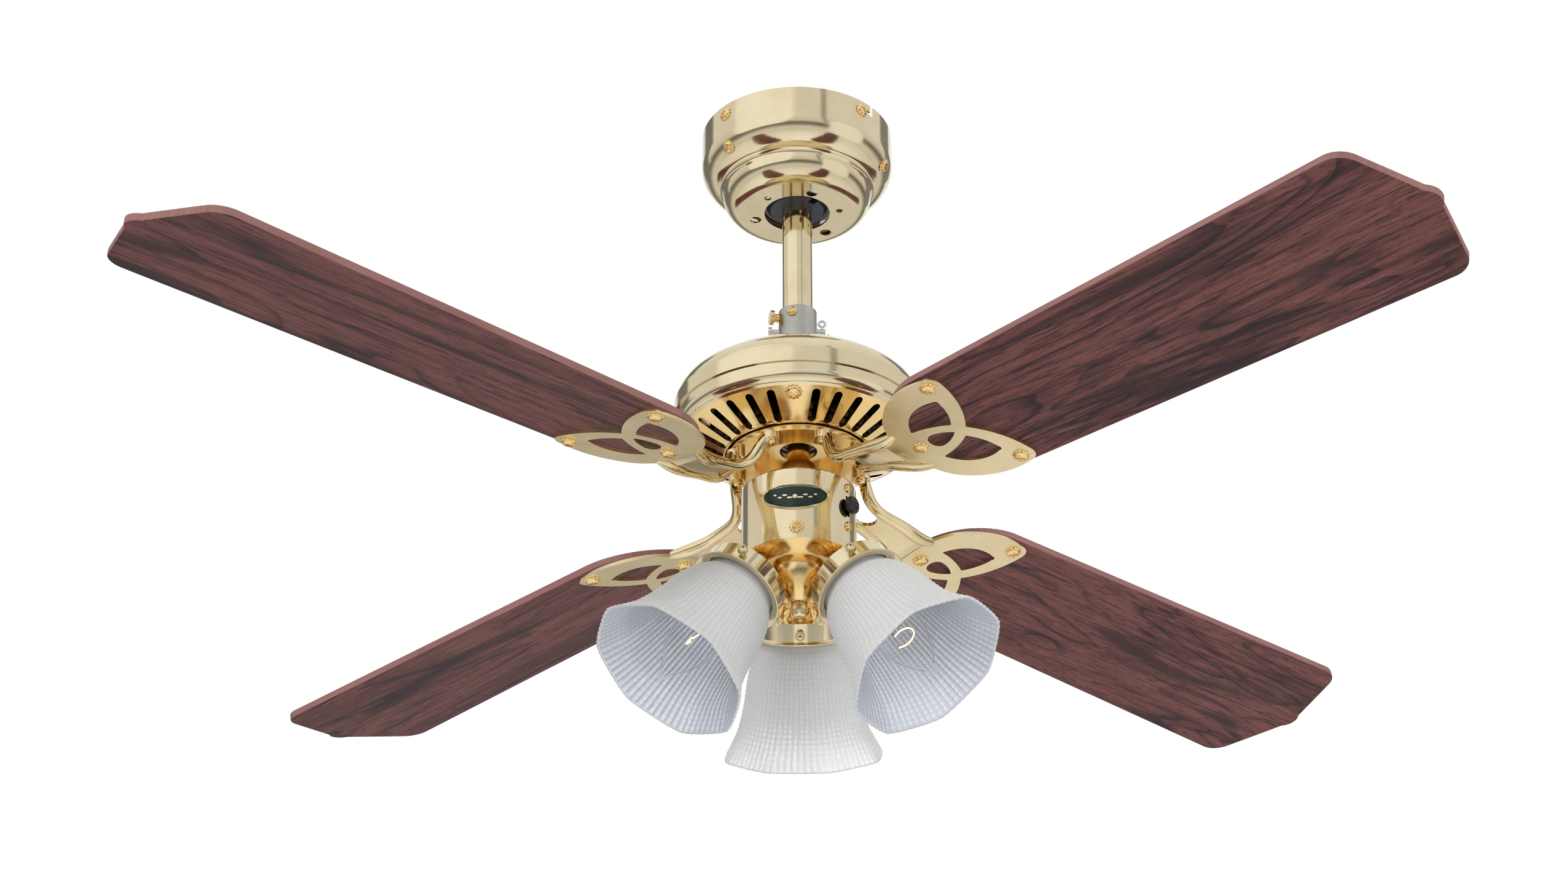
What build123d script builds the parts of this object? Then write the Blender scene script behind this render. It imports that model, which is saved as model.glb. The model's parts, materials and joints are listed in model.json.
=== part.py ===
"""Small four-blade ceiling fan with three bell-shade lamps, hung from a ball joint.

Units are millimetres. The origin is the centre of the bracket's top face, on the ceiling plane,
and +Z points up. Heights from CEILING measure down from that plane. Motor, blade and lamp heights
are given above the blade plane, which lies BLADE_DROP below the ceiling.
"""

from build123d import *
from math import atan2, cos, degrees, radians, sin
import os

# ---------------------------------------------------------------- driving dimensions
BLADE_DROP = 292.0
SPAN_RADIUS = 525.0
BLADE_COUNT = 4
BLADE_AZIMUTH = 43.5
PITCH = 10.7
DROOP = 0.5
LAMP_COUNT = 3
LAMP_AZIMUTH = 88.5
LAMP_TILT = 36.0

SHEET = 1.2
FIT = 0.1
RUNNING = 0.05
TOUCH = 0.02

# hanging ball and bracket, heights from the ceiling
PLATE_RADIUS = 60.0
PLATE_THICK = 2.5
SLOT_SPACING = 84.0
SLOT_LENGTH = 12.0
SLOT_WIDTH = 5.5
LEG_Y = 32.0
BALL_Z = -45.0
BALL_RADIUS = 24.0
BALL_TOP = -33.0
BALL_BOTTOM = -60.0
LINER_RADIUS = 26.0
HANGER_PIN_RADIUS = 3.0
JOINT_GAP = 0.3
SEAT_TOP = -48.5
SEAT_BOTTOM = -57.0
SEAT_OUTER = 32.0
NOTCH_AZIMUTH = -50.0

# canopy
CANOPY_RADIUS = 67.2
CANOPY_TOP = -0.5
CANOPY_BASE = -61.6
CANOPY_HOLE = 23.0
CANOPY_SCREW_Z = -8.5
CANOPY_SCREW_AZIMUTH = -47.5
CANOPY_SCREW_HEAD = 4.4
# reach, height and downward tilt of the three trim screws
TRIM_SCREW = (63.95, -34.5, 35.2)
TRIM_AZIMUTH = -137.5
# azimuth, reach and radius of the holes in the canopy's floor
CANOPY_FLOOR_HOLES = (
    (-68, 28.2, 4.0),
    (51, 32.0, 4.0),
    (165, 30.3, 4.0),
    (-136, 28.5, 2.5),
    (-6.5, 30.0, 2.5),
)

# down rod, coupling and shaft, heights above the blade plane from here on
ROD_RADIUS = 10.5
ROD_BORE = 8.3
ROD_BOTTOM = 128.0
COUPLING_RADIUS = 13.2
COUPLING_TOP = 148.5
DOME_TOP = 110.0
SHAFT_RADIUS = 8.0
SHAFT_BORE = 5.0
CLEVIS_Z = 133.0
CLEVIS_RADIUS = 2.5
COTTER_X = 16.8
THUMB_BOLT_Z = 143.0

# motor
MOTOR_RADIUS = 84.6
SEAM_Z = 64.0
BAND_TOP = 73.5
VENT_RIM = (77.5, 48.5)
VENT_EYE = (49.5, 35.5)
VENT_POSITIONS = 30
VENT_SLOT_WIDTH = 5.6
VENT_SLOT_ENDS = (50.8, 74.8)
BOSS_AZIMUTH = -92.4
BOSS_REACH = 72.0
BOSS_SCREW_HEAD = 5.0
ROTOR_RADIUS = 60.0
ROTOR_BORE = 51.0
BELL_TOP = 93.5
BELL_SPLIT = 70.0
BELL_BOTTOM = 46.0
FLANGE_OUTER = 48.2
FLANGE_INNER = 30.0
FLANGE_BOTTOM = 31.0
BEARING_RADIUS = 16.0
BEARING_WIDTH = 9.0
UPPER_BEARING_Z = 83.5
LOWER_BEARING_Z = 46.5

# blades and irons
BLADE_THICK = 5.3
BLADE_EDGE = 0.9
BLADE_ROOT_CENTRE = 160.5
BLADE_ROOT_HALF = 53.2
BLADE_SHOULDER = 489.0
BLADE_SHOULDER_HALF = 62.5
IRON_PLATE = 2.2
IRON_BOSS = (41.6, 17.2)
IRON_BOSS_RADIUS = 6.4
IRON_BOSS_DEPTH = 5.0
IRON_SCREW_HEAD = 3.8
# stations of an iron's two bars: reach, half spacing, height, sideways sway
BAR_STATIONS = (
    (44.4, 17.0, 28.5, 0.0),
    (46.8, 15.4, 22.5, 1.5),
    (50.0, 13.4, 14.0, 4.0),
    (57.0, 12.0, 7.5, 6.5),
    (70.0, 12.0, 4.0, 7.0),
    (84.0, 13.0, 0.8, 6.0),
    (97.0, 15.5, -1.6, 2.5),
    (109.0, 19.0, -1.4, 0.0),
)
BAR_RADII = ((0.0, 3.5), (0.35, 3.8), (0.7, 4.3), (0.88, 4.1), (1.0, 2.4))
WEB_FIRST = 3
WEB_THICK = 2.4
BLADE_SCREWS = ((163.8, 43.3), (163.8, -43.3), (115.7, 0.0))
BLADE_SCREW_HEAD = 5.2
SCREW_SHANK = 2.0

# switch housing and light kit
HOUSING_RADIUS = 38.5
HOUSING_TOP = 9.0
HOUSING_BASE = -44.0
HOUSING_SCREW = 1.6
STUD_RADIUS = 3.0
COLLAR_RADIUS = 19.0
COLLAR_TOP = 14.0
SHAFT_COLLAR = 12.0
SWITCH_AZIMUTH = -32.5
SWITCH_Z = -12.5
SWITCH_TRAVEL = 2.5
BADGE_Z = -14.2
BADGE_TURN = -3.5
BADGE_HALF_WIDTH = 23.8
BADGE_HALF_HEIGHT = 9.0
PAN_EYE = (21.5, -51.0)
HUB_TOP_RADIUS = 20.5
HUB_BASE = (9.0, -75.0)

# lamps, measured along each lamp's own axis from the gallery's rim
GALLERY_CENTRE = (47.7, -75.8)
GALLERY_DEPTH = 14.5
GALLERY_RADIUS = 29.5
GALLERY_FLANGE = 32.0
CUP_BACK = -28.5
NIPPLE_RADIUS = 5.0
NIPPLE_BACK = -39.0
SHADE_LENGTH = 81.5
SHADE_WALL = 2.4
THUMB_SCREW = 1.6
HOLDER_RADIUS = 13.0
HOLDER_FRONT = 12.0
BULB_TIP = 91.0

at_blades = Pos(0, 0, -BLADE_DROP)


# ---------------------------------------------------------------- shape helpers
def outline(start, *steps):
    """Closed face. A step is an end point for a line, or (via, end) for an arc."""
    edges = []
    here = start
    for step in steps:
        if isinstance(step[0], tuple):
            via, end = step
            edges.append(ThreePointArc(here, via, end))
        else:
            end = step
            edges.append(Line(here, end))
        here = end
    if here != start:
        edges.append(Line(here, start))
    return make_face(edges)


def turned(start, *steps):
    """Solid of revolution about Z from a closed outline of (radius, height) points."""
    return revolve(Plane.XZ * outline(start, *steps), Axis.Z, 360)


def disc(radius, low, high, hole=0.0):
    """Round plate or tube about Z between two heights."""
    body = Pos(0, 0, low) * Cylinder(radius, high - low, align=(Align.CENTER, Align.CENTER, Align.MIN))
    if hole:
        body -= Pos(0, 0, low) * Cylinder(hole, high - low, align=(Align.CENTER, Align.CENTER, Align.MIN))
    return body


def block(length, width, low, high, x=0.0, y=0.0):
    """Upright block centred on (x, y) between two heights."""
    return Pos(x, y, low) * Box(length, width, high - low, align=(Align.CENTER, Align.CENTER, Align.MIN))


def around(shape, count, first=0.0):
    """Copies of a shape turned evenly about Z."""
    return [Rot(0, 0, first + 360 / count * i) * shape for i in range(count)]


def radial(azimuth, radius, height):
    """Frame whose Z axis points outward from the fan's axis at a given place."""
    return Rot(0, 0, azimuth) * Pos(radius, 0, height) * Rot(0, 90, 0)


def pan_screw(head, rise, shank, length):
    """Cross-head screw: underside of the head at Z 0, head towards +Z, shank towards -Z."""
    dome = turned((0, 0), (head, 0), ((head * 0.86, rise * 0.62), (head * 0.45, rise)), (0, rise))
    slot = Box(head * 1.1, head * 0.24, rise, align=(Align.CENTER, Align.CENTER, Align.MIN))
    for angle in (45, 135):
        dome -= Pos(0, 0, rise * 0.55) * Rot(0, 0, angle) * slot
    return dome + disc(shank, -length, 0)


def joined(shapes):
    """Separate solids kept in one node."""
    return Compound(children=list(shapes))


nodes = {}


# ---------------------------------------------------------------- ceiling bracket and ball joint
def make_bracket():
    plate = disc(PLATE_RADIUS, -PLATE_THICK, 0, hole=9)
    for x in (-SLOT_SPACING / 2, SLOT_SPACING / 2):
        plate -= Pos(x, 0, -PLATE_THICK) * extrude(SlotOverall(SLOT_LENGTH, SLOT_WIDTH), PLATE_THICK)
    tab = block(2.5, 14, -16, -1, x=PLATE_RADIUS - 1.3)
    tab -= radial(0, PLATE_RADIUS - 5, CANOPY_SCREW_Z) * Cylinder(SCREW_SHANK + FIT, 12)
    body = plate + around(tab, 4, CANOPY_SCREW_AZIMUTH)
    seat = disc(SEAT_OUTER, SEAT_BOTTOM, SEAT_TOP) - Pos(0, 0, BALL_Z) * Sphere(LINER_RADIUS + JOINT_GAP)
    for y in (-LEG_Y, LEG_Y):
        seat += block(24, 2.5, SEAT_BOTTOM, -1, y=y)
    return body + (seat - disc(LINER_RADIUS + 2.5, SEAT_TOP, -2.6))


def make_ball_seat():
    ring = Pos(0, 0, BALL_Z) * (Sphere(LINER_RADIUS) - Sphere(BALL_RADIUS + JOINT_GAP))
    return ring & disc(LINER_RADIUS + 1, SEAT_BOTTOM + 0.6, SEAT_TOP + 1.5)


def make_ball():
    ball = (Pos(0, 0, BALL_Z) * Sphere(BALL_RADIUS)) & disc(BALL_RADIUS + 1, BALL_BOTTOM, BALL_TOP)
    ball -= disc(ROD_RADIUS + RUNNING, BALL_BOTTOM, BALL_TOP)
    ball -= Rot(0, 0, NOTCH_AZIMUTH) * block(8, 5.5, BALL_BOTTOM, BALL_BOTTOM + 7, x=18.5)
    ball -= Pos(0, 0, BALL_TOP - 4) * Rot(0, 90, 0) * Cylinder(HANGER_PIN_RADIUS + RUNNING, 40)
    return ball


def make_canopy():
    def body(inset):
        return turned(
            (0, CANOPY_TOP),
            (CANOPY_RADIUS - inset, CANOPY_TOP),
            (CANOPY_RADIUS - inset, -23 + inset),
            ((64.6 - inset, -33.5 + inset), (55.5 - inset, -41 + inset)),
            ((53.0 - inset, -42.6 + inset), (52.2 - inset, -45.5 + inset)),
            ((49.8 - inset, -55 + inset), (39.8 - inset, CANOPY_BASE + inset)),
            (0, CANOPY_BASE + inset),
        )

    shell = body(0) - body(SHEET) - disc(CANOPY_HOLE, CANOPY_BASE, CANOPY_BASE + SHEET)
    for azimuth, reach, radius in CANOPY_FLOOR_HOLES:
        shell -= Rot(0, 0, azimuth) * Pos(reach, 0, CANOPY_BASE) * Cylinder(radius, 4)
    for place in canopy_screw_places():
        shell -= place * Cylinder(SCREW_SHANK + FIT, 8)
    keyhole = block(6, 3.2, -9, 0, x=CANOPY_RADIUS) + block(6, 7, -9, -6, x=CANOPY_RADIUS, y=-2)
    return shell - Rot(0, 0, CANOPY_SCREW_AZIMUTH + 9) * keyhole


def canopy_screw_places():
    """Four screws through the rim into the bracket's tabs, then three trim screws on the bulge."""
    rim = [radial(CANOPY_SCREW_AZIMUTH + 90 * i, CANOPY_RADIUS, CANOPY_SCREW_Z) for i in range(4)]
    reach, height, tilt = TRIM_SCREW
    trim = Pos(reach, 0, height) * Rot(0, 90 + tilt, 0)
    return rim + [Rot(0, 0, TRIM_AZIMUTH + 120 * i) * trim for i in range(3)]


def make_canopy_screws():
    long_screw = pan_screw(CANOPY_SCREW_HEAD, 2.2, SCREW_SHANK, 10.5)
    short_screw = pan_screw(CANOPY_SCREW_HEAD, 2.2, SCREW_SHANK, 3.5)
    return [
        place * (long_screw if number < 4 else short_screw)
        for number, place in enumerate(canopy_screw_places())
    ]


def make_terminal_block():
    case = block(34, 18, -15.5, -PLATE_THICK, x=0, y=-16)
    for x in (-11, 0, 11):
        case -= Pos(x, -16, -12) * Rot(90, 0, 0) * Cylinder(2.2, 20)
        case -= Pos(x, -16, -15.5) * Cylinder(2.6, 3)
    return case


nodes["hanging_bracket"] = make_bracket()
nodes["ball_seat"] = make_ball_seat()
nodes["hanger_ball"] = make_ball()
nodes["hanger_pin"] = Pos(0, 0, BALL_TOP - 4) * Rot(0, 90, 0) * Cylinder(HANGER_PIN_RADIUS, 38)
nodes["canopy"] = make_canopy()
nodes["canopy_screws"] = joined(make_canopy_screws())
nodes["terminal_block"] = make_terminal_block()


# ---------------------------------------------------------------- down rod and coupling
def make_downrod():
    rod = disc(ROD_RADIUS, ROD_BOTTOM - BLADE_DROP, BALL_TOP + 4, hole=ROD_BORE)
    rod -= Pos(0, 0, BALL_TOP - 4) * Rot(0, 90, 0) * Cylinder(HANGER_PIN_RADIUS + RUNNING, 40)
    rod -= Pos(0, 0, CLEVIS_Z - BLADE_DROP) * Rot(0, 90, 0) * Cylinder(CLEVIS_RADIUS + FIT, 40)
    return rod


def make_coupling():
    body = disc(COUPLING_RADIUS, DOME_TOP, COUPLING_TOP)
    body -= disc(ROD_RADIUS + FIT, ROD_BOTTOM, COUPLING_TOP)
    body -= disc(SHAFT_RADIUS + RUNNING, DOME_TOP, ROD_BOTTOM)
    body -= Pos(0, 0, CLEVIS_Z) * Rot(0, 90, 0) * Cylinder(CLEVIS_RADIUS + FIT, 40)
    for azimuth in (-107, 193):
        body -= radial(azimuth, COUPLING_RADIUS, THUMB_BOLT_Z) * Cylinder(2.1, 12)
    return body


def make_coupling_screws():
    screw = pan_screw(3.6, 2.6, SCREW_SHANK, 2.5)
    bolt = disc(SCREW_SHANK, -2.5, 4) + disc(5.2, 4, 6.4)
    bolt += Pos(0, 0, 3) * disc(3.0, -2.4, 1)
    return [
        radial(-107, COUPLING_RADIUS, THUMB_BOLT_Z) * screw,
        radial(193, COUPLING_RADIUS, THUMB_BOLT_Z) * bolt,
    ]


def make_clevis_pin():
    pin = Rot(0, 90, 0) * Cylinder(CLEVIS_RADIUS, 38)
    pin += Pos(-19, 0, 0) * Rot(0, 90, 0) * Cylinder(4.2, 2.4)
    return Pos(0, 0, CLEVIS_Z) * (pin - Pos(COTTER_X, 0, 0) * Cylinder(0.9, 8))


def make_cotter_pin():
    eye = Pos(0, 0, 7.0) * Rot(90, 0, 0) * Torus(2.2, 0.75)
    leg = Pos(0, 0, -0.5) * Cylinder(0.75, 11)
    tail = Pos(0, 0, -5.5) * Rot(0, 50, 0) * disc(0.7, 0, 6)
    return Pos(COTTER_X, 0, CLEVIS_Z) * (eye + leg + tail)


nodes["downrod"] = make_downrod()
nodes["motor_coupling"] = at_blades * make_coupling()
nodes["coupling_screws"] = at_blades * joined(make_coupling_screws())
nodes["clevis_pin"] = at_blades * make_clevis_pin()
nodes["cotter_pin"] = at_blades * make_cotter_pin()


# ---------------------------------------------------------------- motor
def make_top_cover():
    def body(inset):
        return turned(
            (0, SEAM_Z - 1),
            (MOTOR_RADIUS - inset, SEAM_Z - 1),
            (MOTOR_RADIUS - inset, BAND_TOP),
            (MOTOR_RADIUS - 1 - inset, BAND_TOP + 0.8),
            ((81.6 - inset, 81 - inset), (75 - inset, 87.5 - inset)),
            ((58 - inset, 98.6 - inset), (40 - inset, 104.5 - inset)),
            ((27 - inset, 108 - inset), (13, DOME_TOP - inset)),
            (0, DOME_TOP - inset),
        )

    return body(0) - body(SHEET) - disc(SHAFT_RADIUS + FIT, SEAM_Z, DOME_TOP + 1)


def make_vent_slots():
    """One slot at every vent position, apart from the three blanks that carry a screw boss."""
    inner, outer = VENT_SLOT_ENDS
    slot = Pos((inner + outer) / 2, 0, 25) * extrude(SlotOverall(outer - inner, VENT_SLOT_WIDTH), 30)
    blank_every = VENT_POSITIONS // 3
    step = 360 / VENT_POSITIONS
    return [Rot(0, 0, BOSS_AZIMUTH + step * i) * slot for i in range(VENT_POSITIONS) if i % blank_every]


def make_lower_cover():
    rim, eye = VENT_RIM, VENT_EYE

    def body(inset):
        band = MOTOR_RADIUS - SHEET - FIT - inset
        return turned(
            (0, SEAM_Z + 4),
            (band, SEAM_Z + 4),
            (band, 57),
            ((band - 0.5, 52.5 + inset), (band - 2.4, 50.2 + inset)),
            ((band - 3.4, 49.6 + inset), (band - 4.4, 49.9 + inset)),
            (rim[0] - inset, rim[1] + inset),
            (eye[0] - inset, eye[1] + inset),
            (0, eye[1] + inset),
        )

    shell = body(0) - body(SHEET) - disc(eye[0], eye[1] - 1, eye[1] + 6)
    shell += disc(eye[0] + 1.4, eye[1] + 0.2, eye[1] + 4, hole=eye[0])
    for slot in make_vent_slots():
        shell -= slot
    for place in boss_places():
        shell -= place * Cylinder(SCREW_SHANK + FIT, 14)
    return shell


def boss_places():
    """Outward frames square to the vented cone, at the three blanks between slots."""
    rise, run = VENT_RIM[1] - VENT_EYE[1], VENT_RIM[0] - VENT_EYE[0]
    height = VENT_EYE[1] + (BOSS_REACH - VENT_EYE[0]) * rise / run
    square = Rot(0, -degrees(atan2(rise, run)), 0) * Rot(180, 0, 0)
    return [Rot(0, 0, BOSS_AZIMUTH + 120 * i) * Pos(BOSS_REACH, 0, height) * square for i in range(3)]


def make_shaft():
    shaft = disc(SHAFT_RADIUS, HOUSING_TOP - 6, ROD_BOTTOM - 1, hole=SHAFT_BORE)
    return shaft + disc(SHAFT_COLLAR, HOUSING_TOP, 28, hole=SHAFT_BORE)


def make_stator():
    core = disc(49.5, 60, 80, hole=SHAFT_RADIUS + RUNNING)
    for slot in around(block(20, 5, 60, 80, x=38), 16):
        core -= slot
    return core - [turn * Cylinder(1.2, 60) for turn in around(Pos(49.5, 0, 70), 16, 11.25)]


def make_windings():
    coil = turned((24, 0.2), (46, 0.2), ((47, 4.5), (42, 8.5)), (30, 8.5), ((24.5, 6), (24, 0.2)))
    return [Pos(0, 0, 80) * coil, Pos(0, 0, 60) * Rot(180, 0, 0) * coil]


def make_bearing(base):
    ring = disc(BEARING_RADIUS, base, base + BEARING_WIDTH, hole=SHAFT_RADIUS + TOUCH)
    groove = disc(13.6, base + BEARING_WIDTH - 0.8, base + BEARING_WIDTH, hole=10.4)
    return ring - groove - Pos(0, 0, 0.8 - BEARING_WIDTH) * groove


def make_upper_bell():
    cup = disc(ROTOR_RADIUS, BELL_SPLIT, BELL_TOP) - disc(ROTOR_BORE, BELL_SPLIT, BELL_TOP - 3)
    cup += disc(BEARING_RADIUS + 5, UPPER_BEARING_Z + 5, BELL_TOP)
    cup -= disc(BEARING_RADIUS + RUNNING, UPPER_BEARING_Z, BELL_TOP - 1)
    return cup - disc(SHAFT_RADIUS + 1.5, BELL_SPLIT, BELL_TOP)


def make_lower_bell():
    cup = disc(ROTOR_RADIUS, BELL_BOTTOM, BELL_SPLIT) - disc(ROTOR_BORE, BELL_BOTTOM + 4, BELL_SPLIT)
    cup += disc(FLANGE_OUTER, FLANGE_BOTTOM, BELL_BOTTOM) - disc(FLANGE_INNER, FLANGE_BOTTOM, BELL_BOTTOM - 4)
    cup += disc(BEARING_RADIUS + 4, BELL_BOTTOM - 6, BELL_BOTTOM + 4)
    cup -= disc(BEARING_RADIUS + RUNNING, LOWER_BEARING_Z - 3, LOWER_BEARING_Z + BEARING_WIDTH)
    cup -= disc(SHAFT_RADIUS + 4.8, FLANGE_BOTTOM, BELL_SPLIT)
    for place in iron_bolt_places():
        cup -= place * Pos(0, 0, 7) * Cylinder(SCREW_SHANK + FIT, 14)
    return cup


nodes["motor_top_cover"] = at_blades * make_top_cover()
nodes["motor_shaft"] = at_blades * make_shaft()
nodes["stator_core"] = at_blades * make_stator()
nodes["stator_windings"] = at_blades * joined(make_windings())
nodes["upper_bearing"] = at_blades * make_bearing(UPPER_BEARING_Z)
nodes["lower_bearing"] = at_blades * make_bearing(LOWER_BEARING_Z)
nodes["motor_lower_cover"] = at_blades * make_lower_cover()
nodes["housing_screws"] = at_blades * joined(
    place * pan_screw(BOSS_SCREW_HEAD, 2.4, SCREW_SHANK, 4) for place in boss_places()
)


# ---------------------------------------------------------------- blades and blade irons
def blade_azimuths():
    return [BLADE_AZIMUTH + 360 / BLADE_COUNT * i for i in range(BLADE_COUNT)]


def level_frame(azimuth):
    """Blade frame before pitching: X radial, Y along the chord, Z up."""
    return at_blades * Rot(0, 0, azimuth)


def pitched_frame(azimuth):
    return level_frame(azimuth) * Rot(0, DROOP, 0) * Rot(-PITCH, 0, 0)


def iron_bolt_places():
    """Undersides of the rotor flange where the irons bolt on, in the motor's own heights."""
    reach, side = IRON_BOSS
    return [
        Rot(0, 0, azimuth) * Pos(reach, y, FLANGE_BOTTOM)
        for azimuth in blade_azimuths()
        for y in (-side, side)
    ]


def make_blade():
    """Flat board with a round root, a slow taper and an ogee tip."""
    half, root, edge, tip = BLADE_ROOT_HALF, BLADE_ROOT_CENTRE, BLADE_SHOULDER_HALF, SPAN_RADIUS
    face = outline(
        (root, -half),
        ((root - half, 0), (root, half)),
        (BLADE_SHOULDER, edge),
        ((tip - 24.5, edge - 3.3), (tip - 19.5, edge - 9.3)),
        ((tip - 11.2, 29.5), (tip - 4.0, 8.5)),
        ((tip, 0), (tip - 4.0, -8.5)),
        ((tip - 11.2, -29.5), (tip - 19.5, 9.3 - edge)),
        ((tip - 24.5, 3.3 - edge), (BLADE_SHOULDER, -edge)),
    )
    face = fillet([corner for corner in face.vertices() if corner.X > tip - 20], 3.0)
    board = extrude(face, BLADE_THICK)
    board = fillet(board.edges().filter_by(Plane.XY), BLADE_EDGE)
    for x, y in BLADE_SCREWS:
        board -= Pos(x, y, 0) * Cylinder(SCREW_SHANK + FIT, 3 * BLADE_THICK)
    return board


def make_iron_plate():
    """Three-lobed decorative plate: two overlapping leaves with an opening in each and between."""
    half = outline(
        (103.5, 0),
        ((106, 19), (114, 34.5)),
        ((136, 48.5), (165, 51)),
        ((171.8, 48.6), (174, 42)),
        ((168, 19), (155.5, 0)),
    )
    lobe = outline(
        (122.8, 17.2),
        ((138.5, 31.0), (156.0, 31.2)),
        ((158.6, 30.2), (158.5, 27.8)),
        ((155.8, 17.4), (150.2, 8.2)),
        ((149.2, 7.2), (147.6, 7.6)),
        ((134.5, 12.9), (123.6, 15.0)),
        ((122.3, 15.7), (122.8, 17.2)),
    )
    leaf = outline((124.2, 0), ((126.2, 4.8), (131.0, 6.4)), ((139, 4.2), (145.6, 0)))
    face = half + mirror(half, Plane.XZ)
    face -= lobe + mirror(lobe, Plane.XZ) + leaf + mirror(leaf, Plane.XZ)
    plate = extrude(face, -IRON_PLATE)
    for x, y in BLADE_SCREWS:
        plate -= Pos(x, y, 0) * Cylinder(SCREW_SHANK + FIT, 4 * IRON_PLATE)
    return plate


def bar_tilt(reach):
    """Roll of the iron at a given reach: level at the crotch, the blade's pitch at the plate."""
    first, last = BAR_STATIONS[WEB_FIRST][0], BAR_STATIONS[-1][0]
    return radians(PITCH) * min(max((reach - first) / (last - first), 0), 1)


def bar_point(station, side):
    """Place on one bar's centre line; side 0 gives the middle of the web."""
    reach, spread, height, sway = station
    across = side * spread - sway
    return reach, across, height - across * sin(bar_tilt(reach))


def iron_bar(side):
    """One of the two round bars that swan-neck down from the flange and sweep out to the plate."""
    path = Spline(*[bar_point(station, side) for station in BAR_STATIONS])
    sections = [Plane(path @ share, z_dir=path % share) * Circle(radius) for share, radius in BAR_RADII]
    return sweep(sections, path=path, multisection=True)


def iron_web():
    """Thin web between the bars, with a round crotch at its inner end."""
    sections = []
    for station in BAR_STATIONS[WEB_FIRST:]:
        reach, spread = station[:2]
        roll = bar_tilt(reach)
        place = Plane(origin=bar_point(station, 0), x_dir=(0, cos(roll), -sin(roll)), z_dir=(1, 0, 0))
        sections.append(place * Rectangle(2 * spread, WEB_THICK))
    reach, spread, _, sway = BAR_STATIONS[WEB_FIRST]
    crotch = Pos(reach - 1, -sway, 0) * Cylinder(spread - BAR_RADII[1][1], 60)
    return loft(sections, ruled=True) - crotch


def make_iron():
    reach, offset = IRON_BOSS
    boss_bottom = FLANGE_BOTTOM - IRON_BOSS_DEPTH
    boss = disc(IRON_BOSS_RADIUS, boss_bottom, FLANGE_BOTTOM)
    screw_hole = disc(SCREW_SHANK + FIT, boss_bottom, FLANGE_BOTTOM)
    screw_hole += disc(IRON_SCREW_HEAD + 0.4, 10, boss_bottom)
    plate_frame = Rot(0, DROOP, 0) * Rot(-PITCH, 0, 0)
    body = plate_frame * make_iron_plate() + iron_web()
    for side in (-1, 1):
        body += iron_bar(side)
        body += Pos(reach, side * offset, 0) * boss
    body -= plate_frame * block(80, 130, 0, 14, x=147)
    for side in (-1, 1):
        body -= Pos(reach, side * offset, 0) * screw_hole
    return body - disc(100, FLANGE_BOTTOM, FLANGE_BOTTOM + 10)


def make_blade_screws(azimuth):
    frame = pitched_frame(azimuth)
    screw = pan_screw(BLADE_SCREW_HEAD, 2.8, SCREW_SHANK, BLADE_THICK + IRON_PLATE)
    nut = turned((0, 0), (3.8, 0), (3.8, 1.6), ((3.0, 2.8), (1.6, 3.2)), (0, 3.2))
    placed = []
    for x, y in BLADE_SCREWS:
        placed.append(frame * Pos(x, y, -IRON_PLATE) * Rot(180, 0, 0) * screw)
        placed.append(frame * Pos(x, y, BLADE_THICK) * nut)
    return placed


nodes["rotor_upper_bell"] = at_blades * make_upper_bell()
nodes["rotor_lower_bell"] = at_blades * make_lower_bell()
iron, blade = make_iron(), make_blade()
for number, azimuth in enumerate(blade_azimuths(), start=1):
    nodes[f"blade_iron_{number}"] = level_frame(azimuth) * iron
    nodes[f"blade_{number}"] = pitched_frame(azimuth) * blade
nodes["blade_screws"] = joined(s for azimuth in blade_azimuths() for s in make_blade_screws(azimuth))
nodes["iron_screws"] = at_blades * joined(
    place * Pos(0, 0, -IRON_BOSS_DEPTH) * Rot(180, 0, 0) * pan_screw(IRON_SCREW_HEAD, 2.8, SCREW_SHANK, 13)
    for place in iron_bolt_places()
)


# ---------------------------------------------------------------- switch housing
def make_switch_housing():
    shell = turned(
        (0, HOUSING_BASE),
        (HOUSING_RADIUS, HOUSING_BASE),
        (HOUSING_RADIUS, HOUSING_TOP - 2.5),
        ((HOUSING_RADIUS - 0.7, HOUSING_TOP - 0.7), (HOUSING_RADIUS - 2.5, HOUSING_TOP)),
        (0, HOUSING_TOP),
    )
    shell -= disc(HOUSING_RADIUS - SHEET, HOUSING_BASE, HOUSING_TOP - SHEET)
    shell -= disc(SHAFT_RADIUS + FIT, HOUSING_TOP - 4, HOUSING_TOP)
    shell += disc(COLLAR_RADIUS, HOUSING_TOP - SHEET, COLLAR_TOP, hole=SHAFT_COLLAR + FIT)
    shell -= radial(SWITCH_AZIMUTH, HOUSING_RADIUS, SWITCH_Z) * Box(14.5, 4.5, 8)
    for azimuth, height in housing_screw_spots():
        shell -= radial(azimuth, HOUSING_RADIUS, height) * Cylinder(HOUSING_SCREW + FIT, 10)
    return shell


def housing_screw_spots():
    low = [(-92 + 120 * i, -36.5) for i in range(3)]
    switch = [(SWITCH_AZIMUTH, SWITCH_Z + dz) for dz in (13.5, -15)]
    return low + switch


def make_badge():
    tablet = Pos(0, BADGE_Z, 0) * Ellipse(BADGE_HALF_WIDTH, BADGE_HALF_HEIGHT)
    solid = extrude(Plane.XZ * tablet, HOUSING_RADIUS + 6)
    curve = disc(HOUSING_RADIUS + 1.3, BADGE_Z - 12, BADGE_Z + 12, hole=HOUSING_RADIUS + TOUCH)
    return Rot(0, 0, BADGE_TURN) * (solid & curve)


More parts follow.
